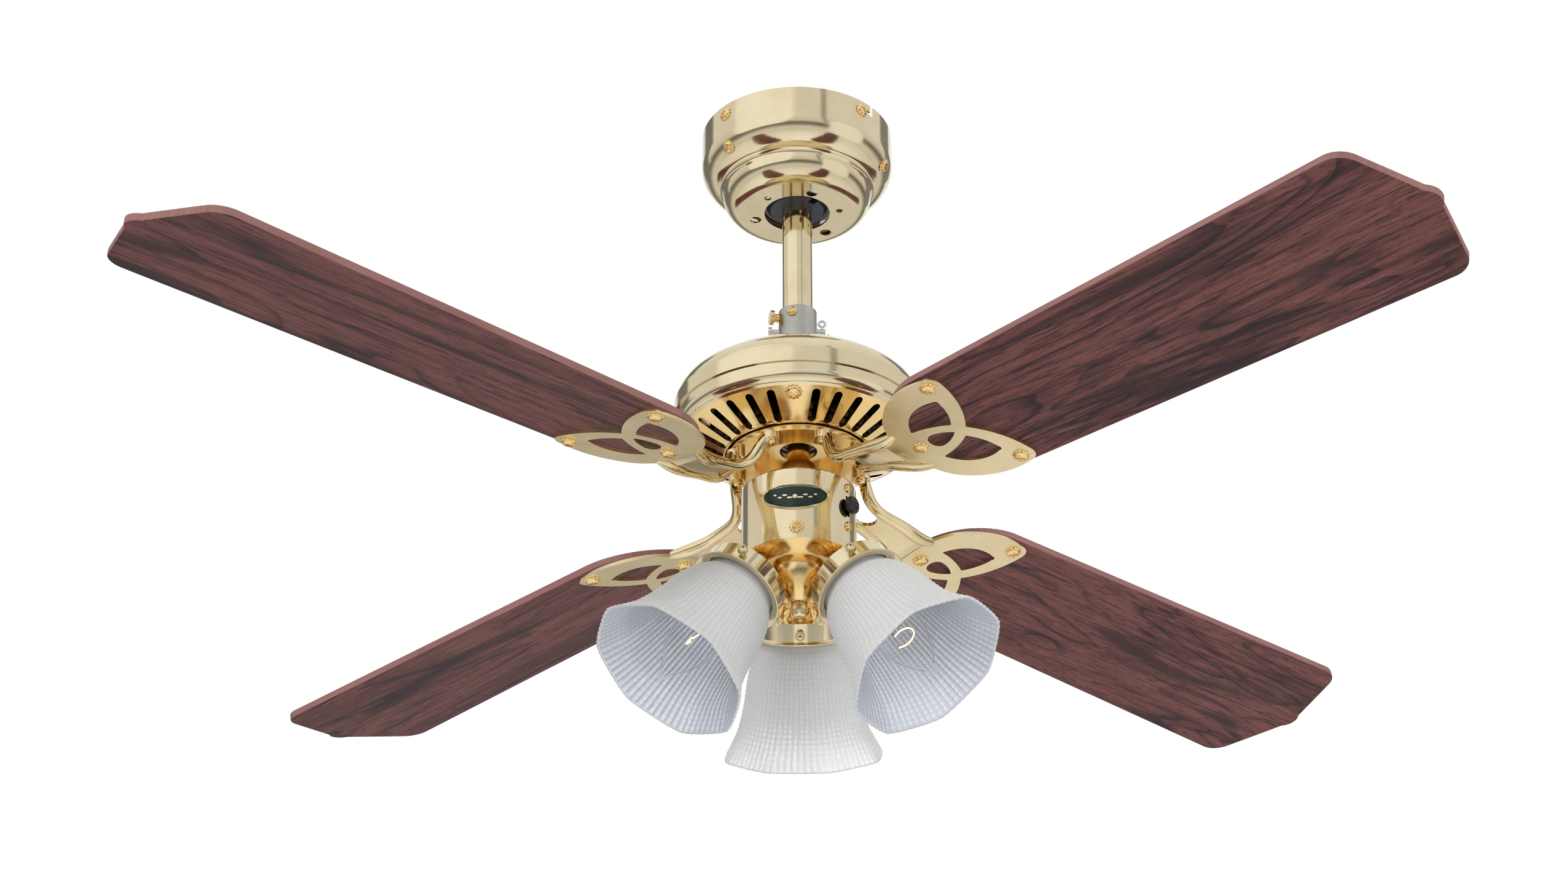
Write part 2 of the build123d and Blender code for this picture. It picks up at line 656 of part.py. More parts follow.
def make_switch_body():
    frame = radial(SWITCH_AZIMUTH, HOUSING_RADIUS, SWITCH_Z)
    case = Pos(0, 0, -12) * Box(22, 10, 14) + Pos(0, 0, -4.2) * Box(36, 9, 1.6)
    case -= Pos(0, 0, -7) * Box(13, 4, 12)
    case -= Pos(-13.5, 0, -4) * Cylinder(1.7, 6) + Pos(15, 0, -4) * Cylinder(1.7, 6)
    return frame * case


def make_switch_knob():
    """Round finger knob on a flat stem; it stands at the middle of its travel."""
    knob = turned((0, 1.6), (5.4, 1.6), ((6.2, 3.6), (5.4, 5.6)), ((3.2, 6.9), (0, 7.2)))
    for ridge in (-2.4, 0, 2.4):
        knob -= Pos(ridge, 0, 7.2) * Box(0.9, 12, 1.2)
    stem = Pos(0, 0, -2.6) * Box(6.5, 3.4, 9)
    return radial(SWITCH_AZIMUTH, HOUSING_RADIUS, SWITCH_Z) * (knob + stem)


def make_capacitor():
    return fillet(block(34, 16, -30, -8, x=-8, y=18).edges(), 1.5)


nodes["switch_housing"] = at_blades * make_switch_housing()
nodes["switch_housing_screws"] = at_blades * joined(
    radial(azimuth, HOUSING_RADIUS, height) * pan_screw(3.4, 2.0, HOUSING_SCREW, 4.4)
    for azimuth, height in housing_screw_spots()
)
nodes["badge"] = at_blades * make_badge()
nodes["reverse_switch_body"] = at_blades * make_switch_body()
nodes["reverse_switch_knob"] = at_blades * make_switch_knob()
nodes["capacitor"] = at_blades * make_capacitor()


# ---------------------------------------------------------------- light kit
def lamp_frame(number):
    """Frame on a lamp's axis at its gallery rim: Z points out of the shade, Y outward and up."""
    reach, height = GALLERY_CENTRE
    tilt = radians(LAMP_TILT)
    plane = Plane(origin=(reach, 0, height), x_dir=(0, 1, 0), z_dir=(sin(tilt), 0, -cos(tilt)))
    return Rot(0, 0, LAMP_AZIMUTH + 360 / LAMP_COUNT * number) * plane.location


def make_pan():
    def body(inset):
        return turned(
            (0, HOUSING_BASE - TOUCH),
            (HOUSING_RADIUS - inset, HOUSING_BASE - TOUCH),
            ((31.5 - inset, -49 + inset), (PAN_EYE[0], PAN_EYE[1] + inset)),
            (0, PAN_EYE[1] + inset),
        )

    wall = HOUSING_RADIUS - SHEET
    shell = body(0) - body(SHEET)
    shell += disc(wall - FIT, HOUSING_BASE - 1, HOUSING_BASE + 9, hole=wall - SHEET)
    for azimuth, height in housing_screw_spots()[:3]:
        shell -= radial(azimuth, HOUSING_RADIUS - 3, height) * Cylinder(HOUSING_SCREW + FIT, 10)
    shell -= disc(STUD_RADIUS + 0.2, PAN_EYE[1] - 1, PAN_EYE[1] + 3)
    for number in range(LAMP_COUNT):
        shell -= lamp_frame(number) * disc(NIPPLE_RADIUS + FIT, NIPPLE_BACK, CUP_BACK)
    return shell


def make_hub():
    """Tapered bowl under the pan, open at the top and held by the finial's stud."""
    def body(inset):
        foot = HUB_BASE[1] + inset
        return turned(
            (0, PAN_EYE[1] - TOUCH),
            (HUB_TOP_RADIUS - inset, PAN_EYE[1] - TOUCH),
            ((18.3 - inset, -62), (HUB_BASE[0] + 1 - inset, foot + 1)),
            (HUB_BASE[0] - inset, foot),
            (0, foot),
        )

    return body(0) - body(SHEET) - disc(STUD_RADIUS + 0.2, HUB_BASE[1] - 1, HUB_BASE[1] + 3)


def make_finial():
    base = HUB_BASE[1] - TOUCH
    tip = base - 8.6
    knob = turned((0, base), (5.6, base), (5.6, base - 4.5), ((4.6, base - 7.4), (1.5, tip)), (0, tip))
    return knob + disc(STUD_RADIUS, base - 1, -46) + disc(5.5, -49.6, -46)


def make_cup():
    """Bell-shaped cup behind a gallery, with its hollow nipple and lock nut."""
    cup = turned(
        (NIPPLE_RADIUS - 1.6, CUP_BACK),
        (7, CUP_BACK),
        ((14.5, -25.5), (18.2, -20.5)),
        ((19.6, -17.5), (20.0, -GALLERY_DEPTH - TOUCH)),
        (18.6, -GALLERY_DEPTH - TOUCH),
        ((17, -21), (6, -26.5)),
        (NIPPLE_RADIUS - 1.6, -26.5),
    )
    nipple = disc(NIPPLE_RADIUS, NIPPLE_BACK, CUP_BACK, hole=NIPPLE_RADIUS - 1.6)
    return cup + nipple


def make_gallery():
    shell = disc(GALLERY_RADIUS, -GALLERY_DEPTH, 0) - disc(GALLERY_RADIUS - 1, 1 - GALLERY_DEPTH, 0)
    shell -= disc(10.5, -GALLERY_DEPTH, 1 - GALLERY_DEPTH)
    lip = turned(
        (GALLERY_RADIUS - 1, -2.2),
        (GALLERY_RADIUS, -2.2),
        ((GALLERY_RADIUS + 0.9, -1.3), (GALLERY_FLANGE, -1.2)),
        ((GALLERY_FLANGE + 0.6, -0.6), (GALLERY_FLANGE, 0)),
        (GALLERY_RADIUS - 1, 0),
    )
    shell += lip
    for place in thumb_places():
        shell -= place * Cylinder(THUMB_SCREW + FIT, 12)
    return shell


def thumb_places():
    """Three places round a gallery's wall, one of them nearest the fan's axis."""
    return [radial(-90 + 120 * i, GALLERY_RADIUS, -7.2) for i in range(3)]


def make_thumb_screw():
    return disc(3.4, 2.2, 7.0) + disc(THUMB_SCREW, -1.9, 2.2)


def make_lampholder():
    back = 1.1 - GALLERY_DEPTH
    body = disc(HOLDER_RADIUS, back, HOLDER_FRONT, hole=7.6) + disc(HOLDER_RADIUS, back, back + 3)
    for height in (-4, 0, 4, 8):
        body -= disc(HOLDER_RADIUS + 1, height, height + 1.2, hole=HOLDER_RADIUS - 0.5)
    return body


def make_bulb_cap():
    back = 4.3 - GALLERY_DEPTH
    front = HOLDER_FRONT + 2.5
    cap = turned((0, back), (3, back), (4.6, back + 2.4), (6.6, back + 5), (6.9, front), (0, front))
    for turn in range(5):
        height = back + 6.5 + 3.2 * turn
        cap -= turned((6.3, height), (7.5, height - 0.8), (7.5, height + 0.8))
    return cap


def make_bulb_glass():
    """Candle envelope, open at its neck, drawn out to a rounded tip."""
    def body(inset):
        neck = HOLDER_FRONT + 2.5 + TOUCH
        return turned(
            (0, neck),
            (6.8 - inset, neck),
            ((14.2 - inset, 25), (17.2 - inset, 40)),
            ((14.2 - inset, 62), (5.2 - inset, 80)),
            (1.5 - inset / 2, BULB_TIP - inset),
            (0, BULB_TIP - inset),
        )

    return body(0) - body(0.9)


def make_shade():
    """Bell of frosted glass: straight neck, rounded shoulder and flared mouth."""
    def body(inset):
        return turned(
            (0, -11.5),
            (27.4 - inset, -11.5),
            (27.4 - inset, 0.4),
            ((29.2 - inset, 4.2), (32.4 - inset, 9)),
            ((37.2 - inset, 26), (40.4 - inset, 44)),
            ((46.0 - inset, 63), (56.0 - inset, SHADE_LENGTH)),
            (0, SHADE_LENGTH),
        )

    return body(0) - body(SHADE_WALL)


nodes["light_kit_pan"] = at_blades * make_pan()
nodes["light_kit_hub"] = at_blades * make_hub()
nodes["finial"] = at_blades * make_finial()
lamp_pieces = {
    "lamp_cup": make_cup(),
    "gallery": make_gallery(),
    "lampholder": make_lampholder(),
    "bulb_cap": make_bulb_cap(),
    "bulb_glass": make_bulb_glass(),
    "shade": make_shade(),
}
for number in range(LAMP_COUNT):
    frame = at_blades * lamp_frame(number)
    for name, piece in lamp_pieces.items():
        nodes[f"{name}_{number + 1}"] = frame * piece
thumb_screw = make_thumb_screw()
nodes["thumb_screws"] = joined(
    at_blades * lamp_frame(number) * place * thumb_screw
    for number in range(LAMP_COUNT)
    for place in thumb_places()
)


# ---------------------------------------------------------------- write one file per sub-part
os.makedirs("parts", exist_ok=True)
for name, shape in nodes.items():
    export_step(shape, f"parts/{name}.step")
print(len(nodes), "nodes")
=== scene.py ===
"""Looks for the ceiling fan: camera, light, materials and the meshes that stand in for CAD nodes."""

from math import cos, pi, radians, sin, tau
import json

import bmesh
import bpy
from mathutils import Matrix, Vector


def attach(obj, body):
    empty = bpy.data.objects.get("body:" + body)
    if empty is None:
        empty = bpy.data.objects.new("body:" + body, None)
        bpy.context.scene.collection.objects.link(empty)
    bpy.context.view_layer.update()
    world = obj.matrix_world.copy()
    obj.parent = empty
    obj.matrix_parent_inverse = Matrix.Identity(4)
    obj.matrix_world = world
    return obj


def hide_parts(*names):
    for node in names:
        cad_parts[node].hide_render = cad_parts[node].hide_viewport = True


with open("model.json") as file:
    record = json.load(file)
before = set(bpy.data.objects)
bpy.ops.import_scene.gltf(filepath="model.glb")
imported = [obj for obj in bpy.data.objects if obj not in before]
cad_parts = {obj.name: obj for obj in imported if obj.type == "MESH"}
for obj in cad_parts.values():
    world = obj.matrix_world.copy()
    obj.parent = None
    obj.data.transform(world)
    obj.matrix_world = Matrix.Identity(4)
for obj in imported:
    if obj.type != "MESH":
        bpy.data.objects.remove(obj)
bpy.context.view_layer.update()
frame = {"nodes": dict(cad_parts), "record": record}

# ---------------------------------------------------------------- places shared with the CAD model
# lengths are in millimetres, apart from BLADE_PLANE and those times MM, which are in metres
MM = 0.001
BLADE_PLANE = -0.292
BLADE_LEVEL = -292.0
BLADE_AZIMUTHS = (43.5, 133.5, 223.5, 313.5)
BLADE_PITCH = 10.7
BLADE_DROOP = 0.5
LAMP_AZIMUTHS = (88.5, 208.5, 328.5)
LAMP_TILT = 36.0
HOUSING_RADIUS = 38.5
GALLERY_RADIUS = 47.7 * MM
GALLERY_HEIGHT = BLADE_PLANE - 75.8 * MM
SHADE_LENGTH = 81.5


def lamp_matrix(number):
    """Place of one lamp: Z runs out of the shade along its axis, from the gallery's rim."""
    tilt = radians(LAMP_TILT)
    forward = Vector((sin(tilt), 0, -cos(tilt)))
    sideways = Vector((0, 1, 0))
    upward = forward.cross(sideways)
    basis = Matrix((sideways, upward, forward)).transposed().to_4x4()
    place = Matrix.Translation((GALLERY_RADIUS, 0, GALLERY_HEIGHT)) @ basis
    return Matrix.Rotation(radians(LAMP_AZIMUTHS[number]), 4, "Z") @ place


# ---------------------------------------------------------------- camera, light and floor, in metres
def make_camera():
    """The viewpoint: 2.1 m away and about 0.8 m below the lamps, looking up at the motor."""
    data = bpy.data.cameras.new("camera")
    data.lens = 72.07
    data.sensor_width = 36.0
    data.shift_x = -0.0094
    data.shift_y = 0.0363
    data.clip_start = 0.05
    camera = bpy.data.objects.new("camera", data)
    bpy.context.scene.collection.objects.link(camera)
    camera.location = (0, -1.8679, -1.2597)
    aim = Vector((0, 0, BLADE_PLANE)) - camera.location
    camera.rotation_euler = aim.to_track_quat("-Z", "Y").to_euler()
    camera.rotation_euler.rotate_axis("Z", radians(-0.32))
    bpy.context.scene.camera = camera


def make_area(name, place, target, size, power, colour):
    """Soft light that the metals do not mirror, since they mirror the world's soft boxes."""
    data = bpy.data.lights.new(name, "AREA")
    data.shape = "RECTANGLE"
    data.size, data.size_y = size
    data.energy = power
    data.color = colour
    light = bpy.data.objects.new(name, data)
    light.location = place
    light.visible_glossy = False
    light.rotation_euler = (Vector(target) - light.location).to_track_quat("-Z", "Y").to_euler()
    bpy.context.scene.collection.objects.link(light)


# place, the point it is aimed at, width and height, power, colour
AREA_LIGHTS = {
    "key": ((-1.6, -1.8, 0.9), (0, 0, -0.3), (2.0, 2.0), 43, (1, 1, 1)),
    "fill": ((2.0, -1.2, -0.4), (0, 0, -0.3), (1.8, 1.4), 18, (1, 1, 1)),
    "low": ((0.2, -1.2, -2.3), (0, 0, -0.3), (1.8, 1.2), 6, (1.0, 0.97, 0.92)),
    "back": ((0.4, 1.9, 0.6), (0, 0, -0.2), (1.6, 1.2), 22, (1, 1, 1)),
}

# what the brass mirrors, bright boxes then dark ones: direction, half width and height as slopes, grey
SOFT_BOXES = (
    ((-1.6, -1.8, 1.2), 0.62, 0.50, 1.12),
    ((2.0, -1.2, -0.1), 0.40, 0.55, 1.00),
    ((0.4, 1.9, 0.9), 0.55, 0.40, 1.05),
    ((0.2, -1.2, -2.0), 0.55, 0.40, 0.88),
    ((1.0, 1.05, 0.62), 0.20, 0.55, 0.26),
    ((-1.0, 1.05, 0.62), 0.20, 0.55, 0.22),
    ((0.62, -0.95, 0.50), 0.05, 0.45, 0.42),
)


def math_node(tree, operation, first, second=None):
    """Math node in a tree. Each value is a number or the output of another node."""
    made = tree.nodes.new("ShaderNodeMath")
    made.operation = operation
    for socket, value in zip(made.inputs, (first, second)):
        if isinstance(value, (int, float)):
            socket.default_value = value
        elif value is not None:
            tree.links.new(value, socket)
    return made.outputs[0]


def add_soft_box(tree, coords, below, direction, half_width, half_height, grey):
    """Lay one rounded, soft-edged rectangle of light over the surround's colour."""
    spin = tree.nodes.new("ShaderNodeVectorRotate")
    spin.rotation_type = "EULER_XYZ"
    spin.invert = True
    spin.inputs["Rotation"].default_value = Vector(direction).to_track_quat("Z", "Y").to_euler()
    split = tree.nodes.new("ShaderNodeSeparateXYZ")
    tree.links.new(coords, spin.inputs["Vector"])
    tree.links.new(spin.outputs[0], split.inputs[0])
    ahead = math_node(tree, "MAXIMUM", split.outputs["Z"], 0.05)
    powers = []
    for axis, half in (("X", half_width), ("Y", half_height)):
        slope = math_node(tree, "DIVIDE", split.outputs[axis], ahead)
        share = math_node(tree, "DIVIDE", slope, half)
        powers.append(math_node(tree, "POWER", share, 4.0))
    fade = tree.nodes.new("ShaderNodeMapRange")
    fade.interpolation_type = "SMOOTHSTEP"
    for name, value in (("From Min", 1.5), ("From Max", 0.6), ("To Min", 0.0), ("To Max", 1.0)):
        fade.inputs[name].default_value = value
    mix = tree.nodes.new("ShaderNodeMix")
    mix.data_type = "RGBA"
    mix.inputs[7].default_value = (grey, grey, grey * 0.985, 1)
    tree.links.new(math_node(tree, "ADD", *powers), fade.inputs["Value"])
    tree.links.new(fade.outputs[0], mix.inputs[0])
    tree.links.new(below, mix.inputs[6])
    return mix.outputs[2]


def make_world():
    """Grey surround, brighter overhead, with soft boxes. The camera sees plain white instead."""
    world = bpy.data.worlds.new("studio")
    bpy.context.scene.world = world
    world.use_nodes = True
    tree = world.node_tree
    tree.nodes.clear()
    coords = tree.nodes.new("ShaderNodeTexCoord")
    split = tree.nodes.new("ShaderNodeSeparateXYZ")
    ramp = tree.nodes.new("ShaderNodeValToRGB")
    shift = tree.nodes.new("ShaderNodeMapRange")
    around = tree.nodes.new("ShaderNodeBackground")
    behind = tree.nodes.new("ShaderNodeBackground")
    path = tree.nodes.new("ShaderNodeLightPath")
    mix = tree.nodes.new("ShaderNodeMixShader")
    out = tree.nodes.new("ShaderNodeOutputWorld")
    shift.inputs["From Min"].default_value = -1.0
    ramp.color_ramp.elements[0].position = 0.0
    ramp.color_ramp.elements[0].color = (0.62, 0.60, 0.57, 1)
    ramp.color_ramp.elements[1].position = 1.0
    ramp.color_ramp.elements[1].color = (1.0, 1.0, 1.0, 1)
    for position, grey in ((0.34, 0.80), (0.43, 0.30), (0.50, 0.16), (0.60, 0.75)):
        stop = ramp.color_ramp.elements.new(position)
        stop.color = (grey, grey * 0.98, grey * 0.95, 1)
    behind.inputs["Color"].default_value = (1, 1, 1, 1)
    behind.inputs["Strength"].default_value = 1.0
    around.inputs["Strength"].default_value = 0.9
    tree.links.new(coords.outputs["Generated"], split.inputs[0])
    tree.links.new(split.outputs["Z"], shift.inputs["Value"])
    tree.links.new(shift.outputs[0], ramp.inputs[0])
    surround = ramp.outputs[0]
    for box in SOFT_BOXES:
        surround = add_soft_box(tree, coords.outputs["Generated"], surround, *box)
    tree.links.new(surround, around.inputs["Color"])
    tree.links.new(path.outputs["Is Camera Ray"], mix.inputs[0])
    tree.links.new(around.outputs[0], mix.inputs[1])
    tree.links.new(behind.outputs[0], mix.inputs[2])
    tree.links.new(mix.outputs[0], out.inputs["Surface"])
    bpy.context.scene.view_settings.view_transform = "Standard"


def make_floor():
    """Pale floor of a room, well below the fan."""
    mesh = bpy.data.meshes.new("floor")
    half, height = 4.0, -2.7
    corners = [(-half, -half, height), (half, -half, height), (half, half, height), (-half, half, height)]
    mesh.from_pydata(corners, [], [(0, 1, 2, 3)])
    floor = bpy.data.objects.new("floor", mesh)
    bpy.context.scene.collection.objects.link(floor)
    mesh.materials.append(plain_floor())


# ---------------------------------------------------------------- material helpers
class Surface:
    """A node material around one Principled shader, with short calls for the usual nodes.

    Keywords set the shader's sockets by name, as coat_weight does for Coat Weight.
    """

    def __init__(self, name, **sockets):
        self.material = bpy.data.materials.new(name)
        self.material.use_nodes = True
        self.tree = self.material.node_tree
        self.shader = self.tree.nodes["Principled BSDF"]
        self.coords = self.node("ShaderNodeTexCoord").outputs["Object"]
        for key, value in sockets.items():
            self.shader.inputs[key.replace("_", " ").title().replace("Ior", "IOR")].default_value = value

    def node(self, kind, **settings):
        made = self.tree.nodes.new(kind)
        for key, value in settings.items():
            setattr(made, key, value)
        return made

    def join(self, source, target):
        self.tree.links.new(source, target)

    def mapped(self, scale=(1, 1, 1), rotation=(0, 0, 0), location=(0, 0, 0), source=None):
        """Coordinates scaled, turned and then moved."""
        made = self.node("ShaderNodeMapping")
        made.inputs["Scale"].default_value = scale
        made.inputs["Rotation"].default_value = rotation
        made.inputs["Location"].default_value = location
        self.join(source or self.coords, made.inputs["Vector"])
        return made.outputs[0]

    def noise(self, scale, detail=4.0, rough=0.5, distortion=0.0, source=None):
        made = self.node("ShaderNodeTexNoise")
        made.inputs["Scale"].default_value = scale
        made.inputs["Detail"].default_value = detail
        made.inputs["Roughness"].default_value = rough
        made.inputs["Distortion"].default_value = distortion
        self.join(source or self.coords, made.inputs["Vector"])
        return made.outputs["Fac"]

    def ramp(self, source, *stops):
        """Stops are (position, colour) pairs, or (position, grey)."""
        made = self.node("ShaderNodeValToRGB")
        steps = made.color_ramp.elements
        while len(steps) < len(stops):
            steps.new(0.5)
        for step, (position, colour) in zip(steps, stops):
            step.position = position
            step.color = (*colour, 1) if isinstance(colour, tuple) else (colour, colour, colour, 1)
        self.join(source, made.inputs[0])
        return made.outputs[0]

    def math(self, operation, first, second=None):
        return math_node(self.tree, operation, first, second)

    def parts(self, source=None):
        """Outputs X, Y and Z of a vector, or of the place on the object."""
        made = self.node("ShaderNodeSeparateXYZ")
        self.join(source or self.coords, made.inputs[0])
        return made.outputs

    def off_axis(self):
        """Distance from the fan's own axis, in metres."""
        place = self.parts()
        squares = [self.math("POWER", place[axis], 2) for axis in ("X", "Y")]
        return self.math("SQRT", self.math("ADD", *squares))

    def cloudy(self, dark, light):
        """Colour of a metal that drifts between two close tones."""
        return self.ramp(self.noise(38.0, 5, 0.6), (0.3, dark), (0.7, light))

    def smeared(self, least, most):
        """Roughness of a wiped metal."""
        return self.ramp(self.noise(120.0, 4, 0.65, 0.4), (0.25, least), (0.85, most))

    def mix(self, factor, first, second):
        """The first colour where the factor is 0 and the second where it is 1."""
        made = self.node("ShaderNodeMix", data_type="RGBA")
        for index, value in ((0, factor), (6, first), (7, second)):
            socket = made.inputs[index]
            if isinstance(value, (int, float)):
                socket.default_value = value
            elif isinstance(value, tuple):
                socket.default_value = (*value, 1)
            else:
                self.join(value, socket)
        return made.outputs[2]

    def bump(self, height, strength, distance):
        made = self.node("ShaderNodeBump")
        made.inputs["Strength"].default_value = strength
        made.inputs["Distance"].default_value = distance
        self.join(height, made.inputs["Height"])
        self.join(made.outputs[0], self.shader.inputs["Normal"])

    def colour(self, source):
        self.join(source, self.shader.inputs["Base Color"])

    def roughness(self, source):
        self.join(source, self.shader.inputs["Roughness"])


def plain_floor():
    """Off-white paint with a little unevenness."""
    look = Surface("floor_paint", roughness=0.85)
    look.colour(look.ramp(look.noise(3.0, 3), (0.35, (0.86, 0.86, 0.85)), (0.7, (0.89, 0.89, 0.88))))
    look.bump(look.noise(60.0, 2), 0.05, 0.001)
    return look.material


# ---------------------------------------------------------------- metals
def metal(name, light, dark, rough, rough_span, grain=0.0, pits=0.0, coat=0.0):
    """Metal with faint cloudiness in its colour and smears in its polish."""
    look = Surface(name, metallic=1.0, coat_weight=coat, coat_roughness=0.05)
    look.colour(look.cloudy(dark, light))
    look.roughness(look.smeared(rough, rough + rough_span))
    if grain:
        look.bump(look.noise(2600.0, 2, 0.6), grain, 0.0002)
    if pits:
        look.bump(look.noise(900.0, 3, 0.7), pits, 0.0002)
    return look.material


# light and dark tones that more than one brass uses
PALE_TONES = ((0.84, 0.735, 0.51), (0.76, 0.640, 0.41))
# the deeper pair is painted reflection: the gold that brass takes on when it mirrors other brass
PAINTED_REFLECTION_TONES = ((0.95, 0.72, 0.36), (0.89, 0.61, 0.25))


def polished_brass():
    return metal("polished_brass", *PALE_TONES, 0.09, 0.07, coat=0.2)


def painted_reflection_brass():
    """The same lacquered brass, painted a deeper gold as a painted reflection of the brass it faces."""
    return metal("painted_reflection_brass", *PAINTED_REFLECTION_TONES, 0.16, 0.08, coat=0.1)


def cover_brass():
    """Lower motor cover: pale on its outer band, deep gold on the vented skirt within, a painted
    reflection.
    """
    look = Surface("cover_brass", metallic=1.0, coat_weight=0.1, coat_roughness=0.05)
    band = look.ramp(look.math("MULTIPLY", look.off_axis(), 10.0), (0.772, 0.0), (0.782, 1.0))
    pale_light, pale_dark = PALE_TONES
    # the skirt's deep gold is painted reflection of the surrounding brass
    skirt = look.cloudy((0.88, 0.61, 0.25), (0.94, 0.73, 0.37))
    look.colour(look.mix(band, skirt, look.cloudy(pale_dark, pale_light)))
    look.roughness(look.smeared(0.10, 0.17))
    return look.material


def flange_brass():
    """Rotor's lower bell: deep gold on the flange as painted reflection, painted shade above it behind the
    vents.
    """
    look = Surface("flange_brass", metallic=1.0)
    flange_top = BLADE_PLANE + 45 * MM
    # above the flange the near-black colour is painted shade, seen through the vent slots
    painted_shade_zone = look.math("GREATER_THAN", look.parts()["Z"], flange_top)
    painted_reflection_light, painted_reflection_dark = PAINTED_REFLECTION_TONES
    look.colour(look.mix(painted_shade_zone, look.cloudy(painted_reflection_dark, painted_reflection_light), (0.045, 0.040, 0.036)))
    look.roughness(look.smeared(0.16, 0.24))
    return look.material


def iron_brass():
    """Blade irons: bright where the bars are polished, satin on the plates under the blades."""
    look = Surface("iron_brass", metallic=1.0, coat_weight=0.1, coat_roughness=0.05)
    plate = look.ramp(look.math("MULTIPLY", look.off_axis(), 5.0), (0.505, 0.0), (0.560, 1.0))
    bright = look.cloudy((0.76, 0.60, 0.34), (0.86, 0.72, 0.45))
    satin = look.cloudy((0.80, 0.65, 0.38), (0.90, 0.76, 0.48))
    look.colour(look.mix(plate, bright, satin))
    look.roughness(look.mix(plate, look.smeared(0.10, 0.17), look.smeared(0.27, 0.37)))
    return look.material


def zinc_grey():
    return metal("zinc_grey", (0.56, 0.55, 0.52), (0.43, 0.42, 0.40), 0.30, 0.14, grain=0.18)


def bright_steel():
    return metal("bright_steel", (0.80, 0.80, 0.81), (0.70, 0.70, 0.72), 0.18, 0.10)


def ground_steel():
    return metal("ground_steel", (0.62, 0.63, 0.65), (0.50, 0.51, 0.53), 0.24, 0.12)


def bulb_brass():
    return metal("bulb_brass", (0.82, 0.70, 0.42), (0.70, 0.58, 0.33), 0.2, 0.1)


def rotor_cast():
    return metal("rotor_cast", (0.70, 0.70, 0.71), (0.55, 0.55, 0.57), 0.42, 0.14, pits=0.35)


def silicon_steel():
    """Stacked laminations: fine level lines."""
    look = Surface("silicon_steel", metallic=0.9)
    sheet = 0.7 * MM
    lines = look.math("SINE", look.math("MULTIPLY", look.parts()["Z"], tau / sheet))
    look.colour(look.ramp(lines, (0.2, (0.20, 0.20, 0.22)), (0.8, (0.42, 0.42, 0.45))))
    look.roughness(look.ramp(look.noise(90.0), (0.3, 0.4), (0.7, 0.6)))
    look.bump(lines, 0.4, 0.0003)
    return look.material


def copper_coil():
    """Round wires wound about the motor's axis, darker between the wires as painted shade."""
    look = Surface("copper_coil", metallic=0.85, coat_weight=0.5, coat_roughness=0.2)
    wire = 1.1 * MM
    wires = look.math("SINE", look.math("MULTIPLY", look.off_axis(), tau / wire))
    # the dark end of this ramp is painted shade in the valleys between wires
    look.colour(look.ramp(wires, (0.1, (0.22, 0.07, 0.03)), (0.8, (0.72, 0.32, 0.15))))
    look.roughness(look.ramp(look.noise(60.0), (0.3, 0.25), (0.7, 0.4)))
    look.bump(wires, 0.7, 0.0005)
    return look.material


# ---------------------------------------------------------------- plastics, enamel and ball
def plastic(name, light, dark, rough, texture=0.08):
    """Moulded plastic with a faint grain."""
    look = Surface(name)
    look.colour(look.ramp(look.noise(45.0, 3), (0.3, dark), (0.7, light)))
    look.roughness(look.ramp(look.noise(160.0, 3), (0.3, rough), (0.8, rough + 0.12)))
    look.bump(look.noise(1500.0, 2), texture, 0.0002)
    return look.material


def dark_ball():
    return plastic("dark_ball", (0.030, 0.036, 0.065), (0.014, 0.017, 0.034), 0.34, 0.15)


def liner():
    return plastic("liner", (0.34, 0.34, 0.35), (0.26, 0.26, 0.27), 0.5)


def black_plastic():
    return plastic("black_plastic", (0.020, 0.020, 0.022), (0.009, 0.009, 0.010), 0.28, 0.12)


def white_plastic():
    return plastic("white_plastic", (0.86, 0.84, 0.79), (0.79, 0.77, 0.71), 0.42)


def badge_enamel():
    """Nearly black green, dimmer than a bare gloss."""
    look = Surface("badge_enamel", coat_weight=0.25, coat_roughness=0.10, specular_ior_level=0.25)
    drift = look.noise(140.0, 3)
    look.colour(look.ramp(drift, (0.3, (0.002, 0.013, 0.009)), (0.75, (0.006, 0.026, 0.017))))
    look.roughness(look.ramp(look.noise(300.0, 3), (0.3, 0.22), (0.8, 0.34)))
    look.bump(look.noise(700.0, 2), 0.06, 0.0002)
    return look.material


